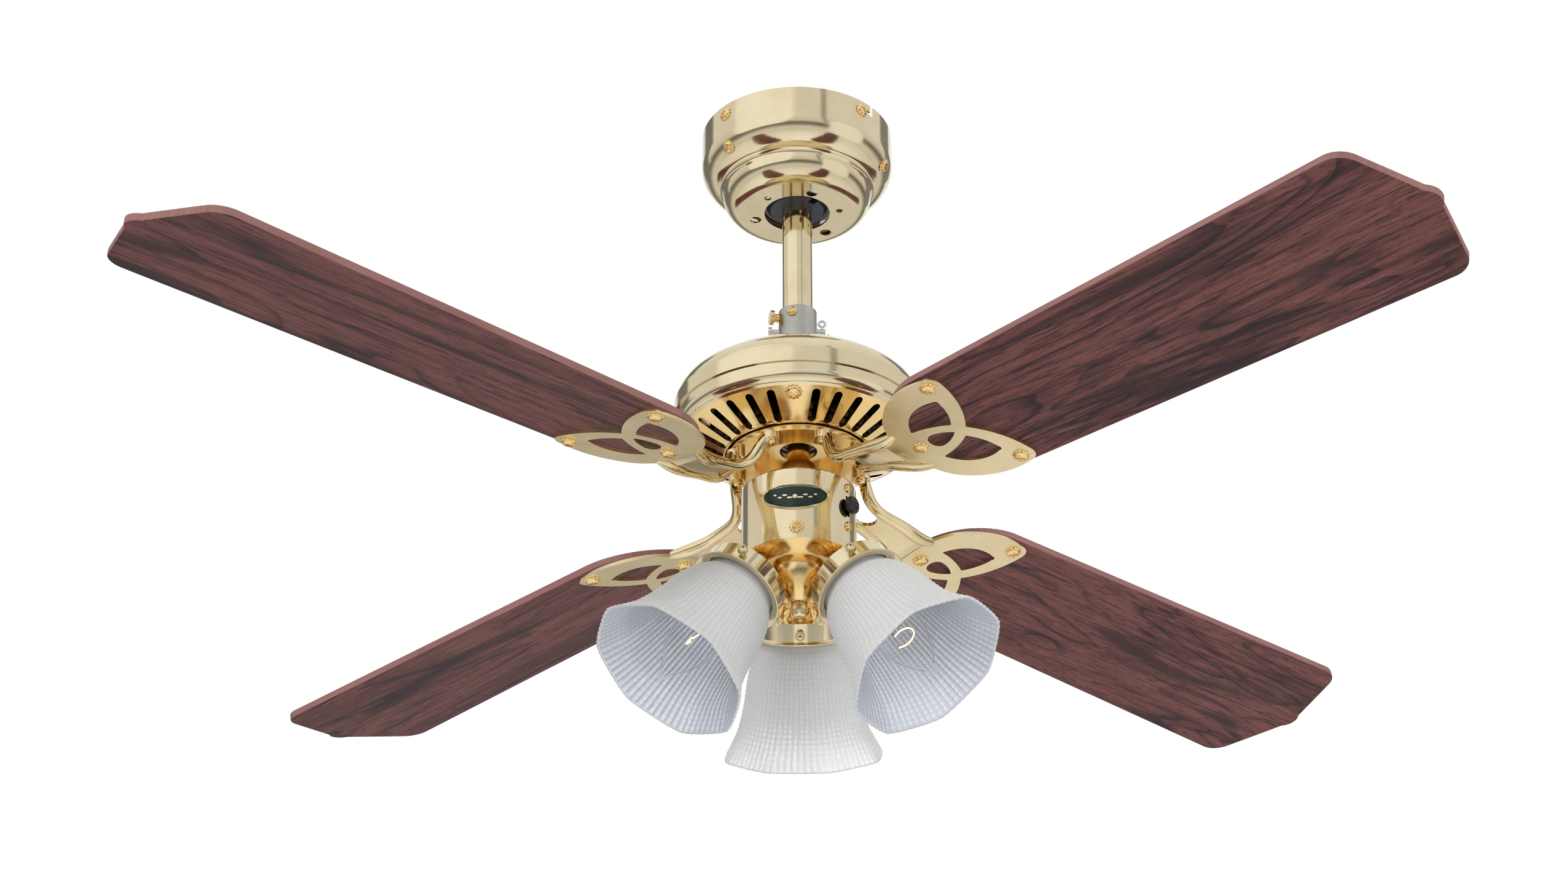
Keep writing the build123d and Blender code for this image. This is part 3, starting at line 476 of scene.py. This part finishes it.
# ---------------------------------------------------------------- rosewood
def rosewood(number, figure):
    """Veneer along one blade: fine pores, streaks that wander, and dark cathedral figure."""
    look = Surface(f"rosewood_{number}", specular_ior_level=0.22)
    flat = look.mapped(location=(0, 0, -BLADE_PLANE))
    spun = look.mapped(rotation=(0, 0, -radians(BLADE_AZIMUTHS[number])), source=flat)
    cut = (0.37 * number, 0.11 * number, 0)
    board = look.mapped(rotation=(radians(BLADE_PITCH), 0, 0), location=cut, source=spun)

    def grain(scale, *settings):
        """Noise drawn out along the board by a scale of its own in each direction."""
        return look.noise(1.0, *settings, source=look.mapped(scale=scale, source=board))

    swell = grain((2.3, 15.0, 3.0), 2.5, 0.45, figure)
    streaks = grain((7.0, 230.0, 60.0), 6, 0.62, 0.35)
    dashes = grain((22.0, 430.0, 60.0), 3, 0.6, 0.2)
    pores = grain((75.0, 900.0, 300.0), 3, 0.7, 0.1)
    patches = grain((4.5, 34.0, 4.5), 5, 0.6, 0.9)
    rings = look.math("FRACT", look.math("MULTIPLY", swell, 8.0))
    ring_lines = look.ramp(
        rings, (0.0, 1.0), (0.07, 0.85), (0.26, 0.22), (0.55, 0.0), (0.93, 0.10), (0.985, 1.0)
    )

    ground = look.ramp(
        streaks, (0.30, (0.070, 0.020, 0.020)), (0.45, (0.142, 0.047, 0.044)), (0.68, (0.200, 0.072, 0.064))
    )
    shade = look.math("MULTIPLY", look.ramp(patches, (0.51, 0.0), (0.65, 1.0)), 0.84)
    shaded = look.mix(shade, ground, (0.030, 0.009, 0.011))
    line_gate = look.ramp(patches, (0.38, 0.25), (0.52, 1.0))
    broken = look.ramp(streaks, (0.32, 1.0), (0.66, 0.70))
    line_mask = look.math("MULTIPLY", look.math("MULTIPLY", ring_lines, line_gate), broken)
    figured = look.mix(line_mask, shaded, (0.010, 0.005, 0.008))
    dash_mask = look.math("MULTIPLY", look.ramp(dashes, (0.37, 1.0), (0.44, 0.0)), 0.70)
    dashed = look.mix(dash_mask, figured, (0.030, 0.010, 0.012))
    pore_mask = look.ramp(pores, (0.36, 1.0), (0.45, 0.0))
    veneer = look.mix(look.math("MULTIPLY", pore_mask, 0.85), dashed, (0.016, 0.006, 0.008))

    to_object = look.node("ShaderNodeVectorTransform", vector_type="NORMAL")
    to_object.convert_from = "WORLD"
    to_object.convert_to = "OBJECT"
    look.join(look.node("ShaderNodeNewGeometry").outputs["True Normal"], to_object.inputs[0])
    level = look.math("ABSOLUTE", look.parts(to_object.outputs[0])["Z"])
    edge_mask = look.ramp(level, (0.55, 1.0), (0.80, 0.0))
    edge = look.ramp(streaks, (0.3, (0.215, 0.098, 0.090)), (0.8, (0.320, 0.165, 0.152)))
    look.colour(look.mix(edge_mask, veneer, edge))
    look.roughness(look.ramp(streaks, (0.2, 0.40), (0.85, 0.55)))
    look.bump(look.math("ADD", pores, look.math("MULTIPLY", streaks, 0.6)), 0.10, 0.0003)
    return look.material


# ---------------------------------------------------------------- glass and light
def frosted_glass():
    """Pressed glass: painted highlights on its rib crests, painted shade in the grooves and blue-grey
    painted shade inside.
    """
    look = Surface("frosted_glass", ior=1.45, transmission_weight=0.34, subsurface_weight=0.50)
    look.shader.inputs["Subsurface Radius"].default_value = (0.012, 0.013, 0.014)
    look.shader.inputs["Subsurface Scale"].default_value = 0.4
    inside = look.node("ShaderNodeAttribute", attribute_name="inside").outputs["Fac"]
    crest = look.node("ShaderNodeAttribute", attribute_name="crest").outputs["Fac"]
    cloud = look.noise(55.0, 4)
    # crest colours are painted highlights on the ribs, groove colours painted shade
    outer_painted_highlight = look.ramp(cloud, (0.3, (0.95, 0.96, 0.97)), (0.7, (1.0, 1.0, 1.0)))
    inside_painted_highlight = look.ramp(cloud, (0.3, (0.70, 0.74, 0.82)), (0.7, (0.76, 0.80, 0.88)))
    outer = look.mix(crest, (0.84, 0.86, 0.87), outer_painted_highlight)
    # the whole inside surface is darkened and blued as painted shade
    painted_shade_colour = look.mix(crest, (0.50, 0.53, 0.60), inside_painted_highlight)
    look.colour(look.mix(inside, outer, painted_shade_colour))
    look.roughness(look.ramp(look.noise(220.0, 3), (0.3, 0.32), (0.75, 0.44)))
    look.bump(look.noise(1300.0, 3, 0.6), 0.12, 0.0003)
    return look.material


def clear_glass():
    """Thin blown glass, so its edge bends light only a little."""
    look = Surface("clear_glass", ior=1.012, transmission_weight=1.0)
    look.colour(look.ramp(look.noise(80.0, 2), (0.3, (0.985, 0.98, 0.97)), (0.7, (1.0, 1.0, 1.0))))
    look.roughness(look.ramp(look.noise(200.0, 2), (0.3, 0.0), (0.8, 0.02)))
    return look.material


def glowing_wire():
    """Orange heat of a dimmed filament."""
    look = Surface("glowing_wire", emission_strength=9.0)
    heat = look.ramp(look.noise(400.0, 2), (0.3, (1.0, 0.34, 0.07)), (0.7, (1.0, 0.52, 0.16)))
    look.colour(heat)
    look.join(heat, look.shader.inputs["Emission Color"])
    return look.material


SURFACES = {
    make.__name__: make()
    for make in (
        polished_brass, painted_reflection_brass, cover_brass, flange_brass, iron_brass, bulb_brass, zinc_grey,
        bright_steel, ground_steel, rotor_cast, silicon_steel, copper_coil, dark_ball, liner,
        black_plastic, white_plastic, badge_enamel, frosted_glass, clear_glass,
    )
}
BLADE_FIGURE = (1.6, 0.5, 0.6, 1.8)
# CAD nodes that do not look like their record slot's material alone
# the deeper brass given to the hub, pan, shaft and screws is painted reflection between brass parts
OWN_LOOKS = {
    "motor_lower_cover": "cover_brass",
    "rotor_lower_bell": "flange_brass",
    "light_kit_hub": "painted_reflection_brass",
    "light_kit_pan": "painted_reflection_brass",
    "motor_shaft": "painted_reflection_brass",
    "canopy_screws": "painted_reflection_brass",
    "coupling_screws": "painted_reflection_brass",
    "housing_screws": "painted_reflection_brass",
    "iron_screws": "painted_reflection_brass",
    "blade_screws": "painted_reflection_brass",
    "switch_housing_screws": "painted_reflection_brass",
    "blade_iron_1": "iron_brass",
    "blade_iron_2": "iron_brass",
    "blade_iron_3": "iron_brass",
    "blade_iron_4": "iron_brass",
}


def smooth(mesh, angle):
    """Shade smooth, with sharp edges kept where faces meet steeply."""
    mesh.shade_smooth()
    mesh.set_sharp_from_angle(angle=radians(angle))


def paint_cad_nodes():
    """Give each CAD node its slot's material, or the look of its own."""
    slots = {row["node"]: row["material_slot"] for row in frame["record"]["subparts"]}
    boards = {f"blade_{i + 1}": rosewood(i, figure) for i, figure in enumerate(BLADE_FIGURE)}
    for name, node in frame["nodes"].items():
        look = boards.get(name) or SURFACES[OWN_LOOKS.get(name, slots[name])]
        node.data.materials.clear()
        node.data.materials.append(look)


# ---------------------------------------------------------------- mesh helpers
def piece(name, mesh, body, slot, look, *stands_for):
    """Put a mesh in the scene on its body, in place of the CAD nodes it stands for."""
    made = bpy.data.objects.new(name, mesh)
    bpy.context.scene.collection.objects.link(made)
    mesh.materials.clear()
    mesh.materials.append(look)
    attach(made, body)
    if stands_for:
        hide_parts(*stands_for)


def lathe(name, rows, count, place=Matrix.Identity(4)):
    """Closed skin through rings of points, each row a function from the angle to (radius, height)."""
    build = bmesh.new()
    rings = []
    for row in rows:
        ring = []
        for i in range(count):
            angle = tau * i / count
            radius, height = row(angle)
            spot = (radius * cos(angle) * MM, radius * sin(angle) * MM, height * MM)
            ring.append(build.verts.new(spot))
        rings.append(ring)
    for low, high in zip(rings, rings[1:] + rings[:1]):
        for i in range(count):
            j = (i + 1) % count
            build.faces.new((low[i], low[j], high[j], high[i]))
    bmesh.ops.recalc_face_normals(build, faces=build.faces)
    mesh = bpy.data.meshes.new(name)
    build.to_mesh(mesh)
    build.free()
    mesh.transform(place)
    return mesh


def curve_at(points, s):
    """Smooth value at s through (s, value) points, by cubic pieces that share their slopes."""
    for (s0, v0), (s1, v1) in zip(points, points[1:]):
        if s <= s1 or (s1, v1) == points[-1]:
            before = points[max(points.index((s0, v0)) - 1, 0)]
            after = points[min(points.index((s1, v1)) + 1, len(points) - 1)]
            slope0 = (v1 - before[1]) / (s1 - before[0])
            slope1 = (after[1] - v0) / (after[0] - s0)
            t = (s - s0) / (s1 - s0)
            span = s1 - s0
            from_start = (2 * t**3 - 3 * t**2 + 1) * v0 + (t**3 - 2 * t**2 + t) * span * slope0
            from_end = (3 * t**2 - 2 * t**3) * v1 + (t**3 - t**2) * span * slope1
            return from_start + from_end


# ---------------------------------------------------------------- ribbed glass shades
SHADE_NECK = -11.5
# height along the lamp's axis and radius
SHADE_PROFILE = ((SHADE_NECK, 27.0), (0.4, 27.0), (3.2, 28.4), (9, 31.9), (26, 36.7), (44, 40.0),
                 (63, 45.6), (74, 51.4), (SHADE_LENGTH, 55.7))
RIBS = 72
LOBES = 8
RIB_DEPTH = 0.75
LOBE_DEPTH = 2.3
LOBE_START = 30.0
RIB_START = 3.0
RIB_RISE = 8.0
RIB_FOOT = 0.7
INNER_RIB_SHARE = 0.6
SHADE_TURNS = (25.0, 42.0, 21.0)
BEAD_PITCH = 3.3
GLASS_WALL = 2.2


def rib_height(angle):
    """Ribs round the shade, from 0 in a groove to 1 on a crest."""
    return 0.5 + 0.5 * cos(RIBS * angle)


def bead_height(s):
    """Beads along each rib, from 0.3 of its height to all of it."""
    return 0.65 + 0.35 * cos(tau * s / BEAD_PITCH)


def shade_row(s, inside):
    """Ring of the shade: fine ribs, beads along them outside, and an octagon towards the mouth."""
    base = curve_at(SHADE_PROFILE, s)
    flare = max(0.0, (s - LOBE_START) / (SHADE_LENGTH - LOBE_START)) ** 1.5
    rib_depth = min(1.0, max(0.0, s - RIB_START) / RIB_RISE) * RIB_DEPTH

    def row(angle):
        lobe = -LOBE_DEPTH * flare * abs(sin(LOBES * angle / 2)) ** 1.2
        if inside:
            return base - GLASS_WALL + lobe - rib_depth * INNER_RIB_SHARE * rib_height(angle), s
        return base - RIB_FOOT + lobe + rib_depth * rib_height(angle) * bead_height(s), s

    return row


def mark_glass(mesh, heights, outer_count, columns):
    """Store which points lie inside, for painted shade, and on a rib's or bead's crest, for painted
    highlights.
    """
    inside = mesh.attributes.new("inside", "FLOAT", "POINT")
    crest = mesh.attributes.new("crest", "FLOAT", "POINT")
    for ring, height in enumerate(heights):
        bead = bead_height(height)
        for column in range(columns):
            index = ring * columns + column
            inside.data[index].value = float(ring >= outer_count)
            crest.data[index].value = rib_height(tau * column / columns) * bead


def make_shades():
    """Three glass shades, each turned a little differently in its gallery."""
    steps = 150
    columns = RIBS * 6
    length = SHADE_LENGTH - SHADE_NECK
    heights = [SHADE_NECK + length * i / steps for i in range(steps + 1)]
    rows = [shade_row(s, False) for s in heights] + [shade_row(s, True) for s in heights[::-1]]
    for number, turn in enumerate(SHADE_TURNS):
        place = lamp_matrix(number) @ Matrix.Rotation(radians(turn), 4, "Z")
        mesh = lathe(f"shade_{number + 1}_glass", rows, columns, place)
        mark_glass(mesh, heights + heights[::-1], len(heights), columns)
        mesh.shade_smooth()
        piece(f"shade_{number + 1}_glass", mesh, "frame", "frosted_glass", SURFACES["frosted_glass"],
              f"shade_{number + 1}")


# ---------------------------------------------------------------- filaments
def tube(name, points, radius, place, look):
    """Round wire along a smooth line inside a bulb, as a mesh."""
    data = bpy.data.curves.new(name, "CURVE")
    data.dimensions = "3D"
    data.bevel_depth = radius * MM
    data.bevel_resolution = 3
    data.use_fill_caps = True
    spline = data.splines.new("NURBS")
    spline.points.add(len(points) - 1)
    for target, point in zip(spline.points, points):
        target.co = (*(Vector(point) * MM), 1)
    spline.order_u = 3
    spline.use_endpoint_u = True
    spline.resolution_u = 6
    holder = bpy.data.objects.new(name, data)
    bpy.context.scene.collection.objects.link(holder)
    mesh = bpy.data.meshes.new_from_object(holder)
    bpy.data.objects.remove(holder)
    mesh.transform(place)
    mesh.shade_smooth()
    mesh.name = name
    piece(name, mesh, "frame", "clear_glass", look)


# places in a lamp's own millimetres
FILAMENT_ARC = [(8 * cos(radians(a)), 8 * sin(radians(a)), 52) for a in range(-60, 201, 26)]
FILAMENT_ARCH = [(-8, 0, 47), (-5.5, 1.5, 55), (-1.8, 2.0, 51), (1.8, 2.0, 51), (5.5, 1.5, 55), (8, 0, 47)]


COIL_WIRE = 0.36
LEAD_WIRE = 0.22


def make_filaments():
    """Glowing coil held by two lead wires."""
    hot = glowing_wire()
    for number, coil in enumerate((FILAMENT_ARC, FILAMENT_ARCH, FILAMENT_ARC)):
        place = lamp_matrix(number)
        tube(f"filament_{number + 1}", coil, COIL_WIRE, place, hot)
        for side, end in (("a", coil[0]), ("b", coil[-1])):
            foot = 1.2 if end[0] > 0 else -1.2
            lead = [(foot, 0, 15.5), (foot, 0, 26), (end[0] * 0.7, end[1] * 0.7, end[2] - 8), end]
            tube(f"lead_wire_{number + 1}{side}", lead, LEAD_WIRE, place, SURFACES["ground_steel"])


# ---------------------------------------------------------------- knurled and fluted brass
def ring_row(radius, height, count=0, depth=0.0, sharpness=1.0):
    """Ring of a turned piece; count and depth cut flutes or knurling round it."""
    def row(angle):
        wave = (0.5 + 0.5 * cos(count * angle)) ** sharpness if count else 0.0
        return radius - depth * (1 - wave) if count else radius, height

    return row


CUP_FLUTES = 16
CUP_FLUTE_DEPTH = 1.7
CUP_FOOT = -28.5
CUP_FLUTED_LENGTH = 14.0
CUP_OUTLINE = ((CUP_FOOT, 5.5), (CUP_FOOT, 7.5), (-27.6, 9.6), (-26.2, 12.3), (-24.4, 14.7),
               (-22.2, 16.9), (-20.0, 18.5), (-17.6, 19.4), (-15.6, 19.8), (-14.55, 19.9))
NIPPLE_BORE = 3.4
NIPPLE_ROOT = 4.5
NIPPLE_CREST = 4.98


def make_cups():
    """Fluted bell behind each gallery, on its threaded nipple."""
    rows = []
    for height, radius in CUP_OUTLINE:
        share = min(1.0, max(0.0, (height - CUP_FOOT) / CUP_FLUTED_LENGTH))
        swell = sin(pi * share) ** 0.7
        rows.append(ring_row(radius, height, CUP_FLUTES, CUP_FLUTE_DEPTH * swell, 0.8))
    rows += [ring_row(18.7, -14.55), ring_row(17.8, -19.5), ring_row(12.0, -25.4), ring_row(4.4, -27.0)]
    nipple = [ring_row(NIPPLE_BORE, -28.0), ring_row(NIPPLE_BORE, -39.0)]
    for turn in range(11):
        nipple += [ring_row(NIPPLE_ROOT, -38.9 + turn), ring_row(NIPPLE_CREST, -38.4 + turn)]
    nipple.append(ring_row(NIPPLE_ROOT, -27.9))
    for number in range(3):
        place = lamp_matrix(number)
        cup = lathe(f"lamp_cup_{number + 1}_fluted", rows, CUP_FLUTES * 12, place)
        smooth(cup, 50)
        # the cups take the deeper brass, a painted reflection of the brass round them
        piece(f"lamp_cup_{number + 1}_fluted", cup, "frame", "polished_brass", SURFACES["painted_reflection_brass"],
              f"lamp_cup_{number + 1}")
        thread = lathe(f"nipple_{number + 1}", nipple, 48, place)
        smooth(thread, 60)
        piece(f"nipple_{number + 1}", thread, "frame", "polished_brass", SURFACES["bulb_brass"])


def make_finial():
    """Knurled knob under the hub, with its stud going up through hub and pan."""
    base = BLADE_LEVEL - 75.02
    knurls = 24
    rows = [ring_row(3.0, base + 29), ring_row(3.0, base), ring_row(5.0, base)]
    rows.append(ring_row(5.5, base - 0.7, knurls, 0.5))
    rows += [ring_row(5.6, base - 1.2 - 0.3 * i, knurls, 0.5) for i in range(12)]
    rows += [ring_row(5.2, base - 5.2, knurls, 0.3), ring_row(4.7, base - 5.8)]
    rows += [ring_row(4.4, base - 7.0), ring_row(3.6, base - 8.0), ring_row(2.2, base - 8.5)]
    rows += [ring_row(0.8, base - 8.55), ring_row(0.4, base - 8.3), ring_row(0.4, base + 28.9)]
    mesh = lathe("finial_knurled", rows, knurls * 8)
    smooth(mesh, 40)
    piece("finial_knurled", mesh, "frame", "polished_brass", SURFACES["polished_brass"], "finial")


def frame_at(azimuth, radius, height, tilt=0.0):
    """Matrix whose Z axis points outward at a place round the axis, and down by the tilt in degrees."""
    turn = Matrix.Rotation(radians(azimuth), 4, "Z")
    place = turn @ Matrix.Translation((radius * MM, 0, height * MM))
    return place @ Matrix.Rotation(radians(90 + tilt), 4, "Y")


IRON_PLATE = 2.2


def blade_frame(azimuth, x, y):
    """Matrix on the underside of one iron's plate, with its Z axis pointing down out of the plate."""
    turn = Matrix.Rotation(radians(azimuth), 4, "Z") @ Matrix.Translation((0, 0, BLADE_PLANE))
    drooped = turn @ Matrix.Rotation(radians(BLADE_DROOP), 4, "Y")
    pitched = drooped @ Matrix.Rotation(radians(-BLADE_PITCH), 4, "X")
    underside = Matrix.Translation((x * MM, y * MM, -IRON_PLATE * MM))
    return pitched @ underside @ Matrix.Rotation(pi, 4, "X")


def joined_mesh(name, parts):
    """One mesh from several (mesh, matrix) pairs."""
    build = bmesh.new()
    for mesh, place in parts:
        start = len(build.verts)
        build.from_mesh(mesh)
        build.verts.ensure_lookup_table()
        bmesh.ops.transform(build, matrix=place, verts=build.verts[start:])
    whole = bpy.data.meshes.new(name)
    build.to_mesh(whole)
    build.free()
    return whole


THUMB_SCREW_RADIUS = 29.5
THUMB_SCREW_HEIGHT = -7.2
THUMB_SCREW_PETALS = 12


def make_thumb_screws():
    """Rosette-headed screws that hold each shade in its gallery."""
    petals = THUMB_SCREW_PETALS
    rows = [ring_row(0.6, -1.8), ring_row(1.6, -1.8), ring_row(1.6, 2.2)]
    rows.append(ring_row(3.2, 2.2, petals, 0.5))
    rows += [ring_row(3.45, 2.8 + 0.5 * i, petals, 0.7, 0.7) for i in range(7)]
    rows += [ring_row(2.9, 6.5, petals, 0.4), ring_row(2.3, 6.9), ring_row(1.7, 6.4)]
    rows += [ring_row(1.2, 6.5), ring_row(0.6, 6.9)]
    head = lathe("thumb_screw", rows, petals * 8)
    places = [
        lamp_matrix(number) @ frame_at(-90 + 120 * turn, THUMB_SCREW_RADIUS, THUMB_SCREW_HEIGHT)
        for number in range(3)
        for turn in range(3)
    ]
    mesh = joined_mesh("thumb_screws_cast", [(head, place) for place in places])
    smooth(mesh, 40)
    piece("thumb_screws_cast", mesh, "frame", "polished_brass", SURFACES["polished_brass"], "thumb_screws")


# ---------------------------------------------------------------- star washers under the screws
def star_washer():
    """Dished lock washer with twelve teeth."""
    teeth = 12
    rows = [ring_row(2.2, 0.0), ring_row(4.9, 0.0, teeth, 0.9, 0.6), ring_row(5.0, 0.3, teeth, 0.9, 0.6),
            ring_row(4.4, 0.7, teeth, 0.5, 0.6), ring_row(2.2, 0.9)]
    return lathe("star_washer", rows, teeth * 8)


# screws: how many, azimuth of the first, radius, height and how far each faces down in degrees
CANOPY_RIM_SCREWS = (4, -47.5, 67.2, -8.5, 0.0)
CANOPY_TRIM_SCREWS = (3, -137.5, 63.95, -34.5, 35.2)
SWITCH_HOUSING_SCREWS = (3, -92.0, HOUSING_RADIUS, BLADE_LEVEL - 36.5, 0.0)
MOTOR_COVER_SCREWS = (3, -92.4, 72.0, BLADE_LEVEL + 45.95, 65.1)
# screws of one blade: along and across it
BLADE_SCREWS = ((163.8, 43.3), (163.8, -43.3), (115.7, 0.0))


def screw_frames(count, first, radius, height, tilt):
    """Matrices of screws spaced evenly round the fan's axis."""
    return [frame_at(first + 360 / count * i, radius, height, tilt) for i in range(count)]


def make_washers():
    """One mesh of star washers for each group of screws."""
    washer = star_washer()
    canopy = screw_frames(*CANOPY_RIM_SCREWS) + screw_frames(*CANOPY_TRIM_SCREWS)
    plates = [blade_frame(azimuth, x, y) for azimuth in BLADE_AZIMUTHS for x, y in BLADE_SCREWS]
    groups = {
        "canopy": ("mount", 1.05, canopy),
        "switch_housing": ("frame", 1.0, screw_frames(*SWITCH_HOUSING_SCREWS)),
        "motor_cover": ("frame", 1.2, screw_frames(*MOTOR_COVER_SCREWS)),
        "blade": ("rotor", 1.22, plates),
    }
    for name, (body, size_up, places) in groups.items():
        sized = [(washer, place @ Matrix.Scale(size_up, 4)) for place in places]
        mesh = joined_mesh(f"{name}_washers", sized)
        smooth(mesh, 35)
        # the washers take the deeper brass, a painted reflection of the brass round them
        piece(f"{name}_washers", mesh, body, "polished_brass", SURFACES["painted_reflection_brass"])


# ---------------------------------------------------------------- badge
BADGE_TURN = -93.5
BADGE_HEIGHT = BLADE_LEVEL - 14.2
BADGE_HALF = (23.8, 9.0)
BADGE_FACE = (22.3, 7.5)
BADGE_END_RISE = 3.6


def wrapped(x, y, lift):
    """Point on the switch housing, x round its surface and y up from the badge's middle line."""
    radius = (HOUSING_RADIUS + lift) * MM
    angle = radians(BADGE_TURN) + x / HOUSING_RADIUS
    rise = BADGE_END_RISE * (x / BADGE_HALF[0]) ** 2
    return Vector((radius * cos(angle), radius * sin(angle), (BADGE_HEIGHT + y + rise) * MM))


def wrapped_disc(name, half, rings, centre=(0.0, 0.0)):
    """Oval tablet wrapped on the housing, through rings of (share of the half size, height)."""
    build = bmesh.new()
    count = 96
    loops = []
    for share, height in rings:
        loop = []
        for i in range(count):
            angle = tau * i / count
            x = centre[0] + half[0] * share * cos(angle)
            y = centre[1] + half[1] * share * sin(angle)
            loop.append(build.verts.new(wrapped(x, y, height)))
        loops.append(loop)
    for low, high in zip(loops, loops[1:]):
        for i in range(count):
            j = (i + 1) % count
            build.faces.new((low[i], low[j], high[j], high[i]))
    build.faces.new(loops[0][::-1])
    build.faces.new(loops[-1])
    bmesh.ops.recalc_face_normals(build, faces=build.faces)
    mesh = bpy.data.meshes.new(name)
    build.to_mesh(mesh)
    build.free()
    smooth(mesh, 35)
    return mesh


def make_badge():
    """Green enamel oval with a raised brass rim and a plain leaf sprig as its ornament."""
    brass, enamel = SURFACES["polished_brass"], SURFACES["badge_enamel"]
    rim = [(0.90, 0.02), (1.0, 0.02), (1.0, 0.9), (0.985, 1.2), (0.955, 1.3), (0.925, 1.2),
           (0.91, 0.85), (0.90, 0.6)]
    backing = wrapped_disc("badge_rim", BADGE_HALF, rim)
    piece("badge_rim", backing, "frame", "badge_enamel", brass, "badge")
    face = [(1.0, 0.55), (1.0, 0.8), (0.95, 0.92), (0.6, 1.0), (0.3, 1.03), (0.02, 1.04)]
    tablet = wrapped_disc("badge_tablet", BADGE_FACE, face)
    piece("badge_tablet", tablet, "frame", "badge_enamel", enamel)
    leaf = [(1.0, 0.98), (1.0, 1.12), (0.7, 1.2), (0.1, 1.24)]
    sprig = []
    for side in (-1, 1):
        for step in range(4):
            middle = (side * (3.4 + 3.3 * step), 0.9 if step % 2 else -0.9)
            sprig.append(wrapped_disc("leaf", (1.9 - 0.25 * step, 0.75), leaf, centre=middle))
    sprig.append(wrapped_disc("seed", (1.5, 1.5), leaf))
    mesh = joined_mesh("badge_sprig", [(part, Matrix.Identity(4)) for part in sprig])
    smooth(mesh, 40)
    piece("badge_sprig", mesh, "frame", "badge_enamel", brass)


make_camera()
make_world()
make_floor()
for name, light in AREA_LIGHTS.items():
    make_area(name, *light)
paint_cad_nodes()
make_shades()
make_filaments()
make_cups()
make_finial()
make_thumb_screws()
make_washers()
make_badge()
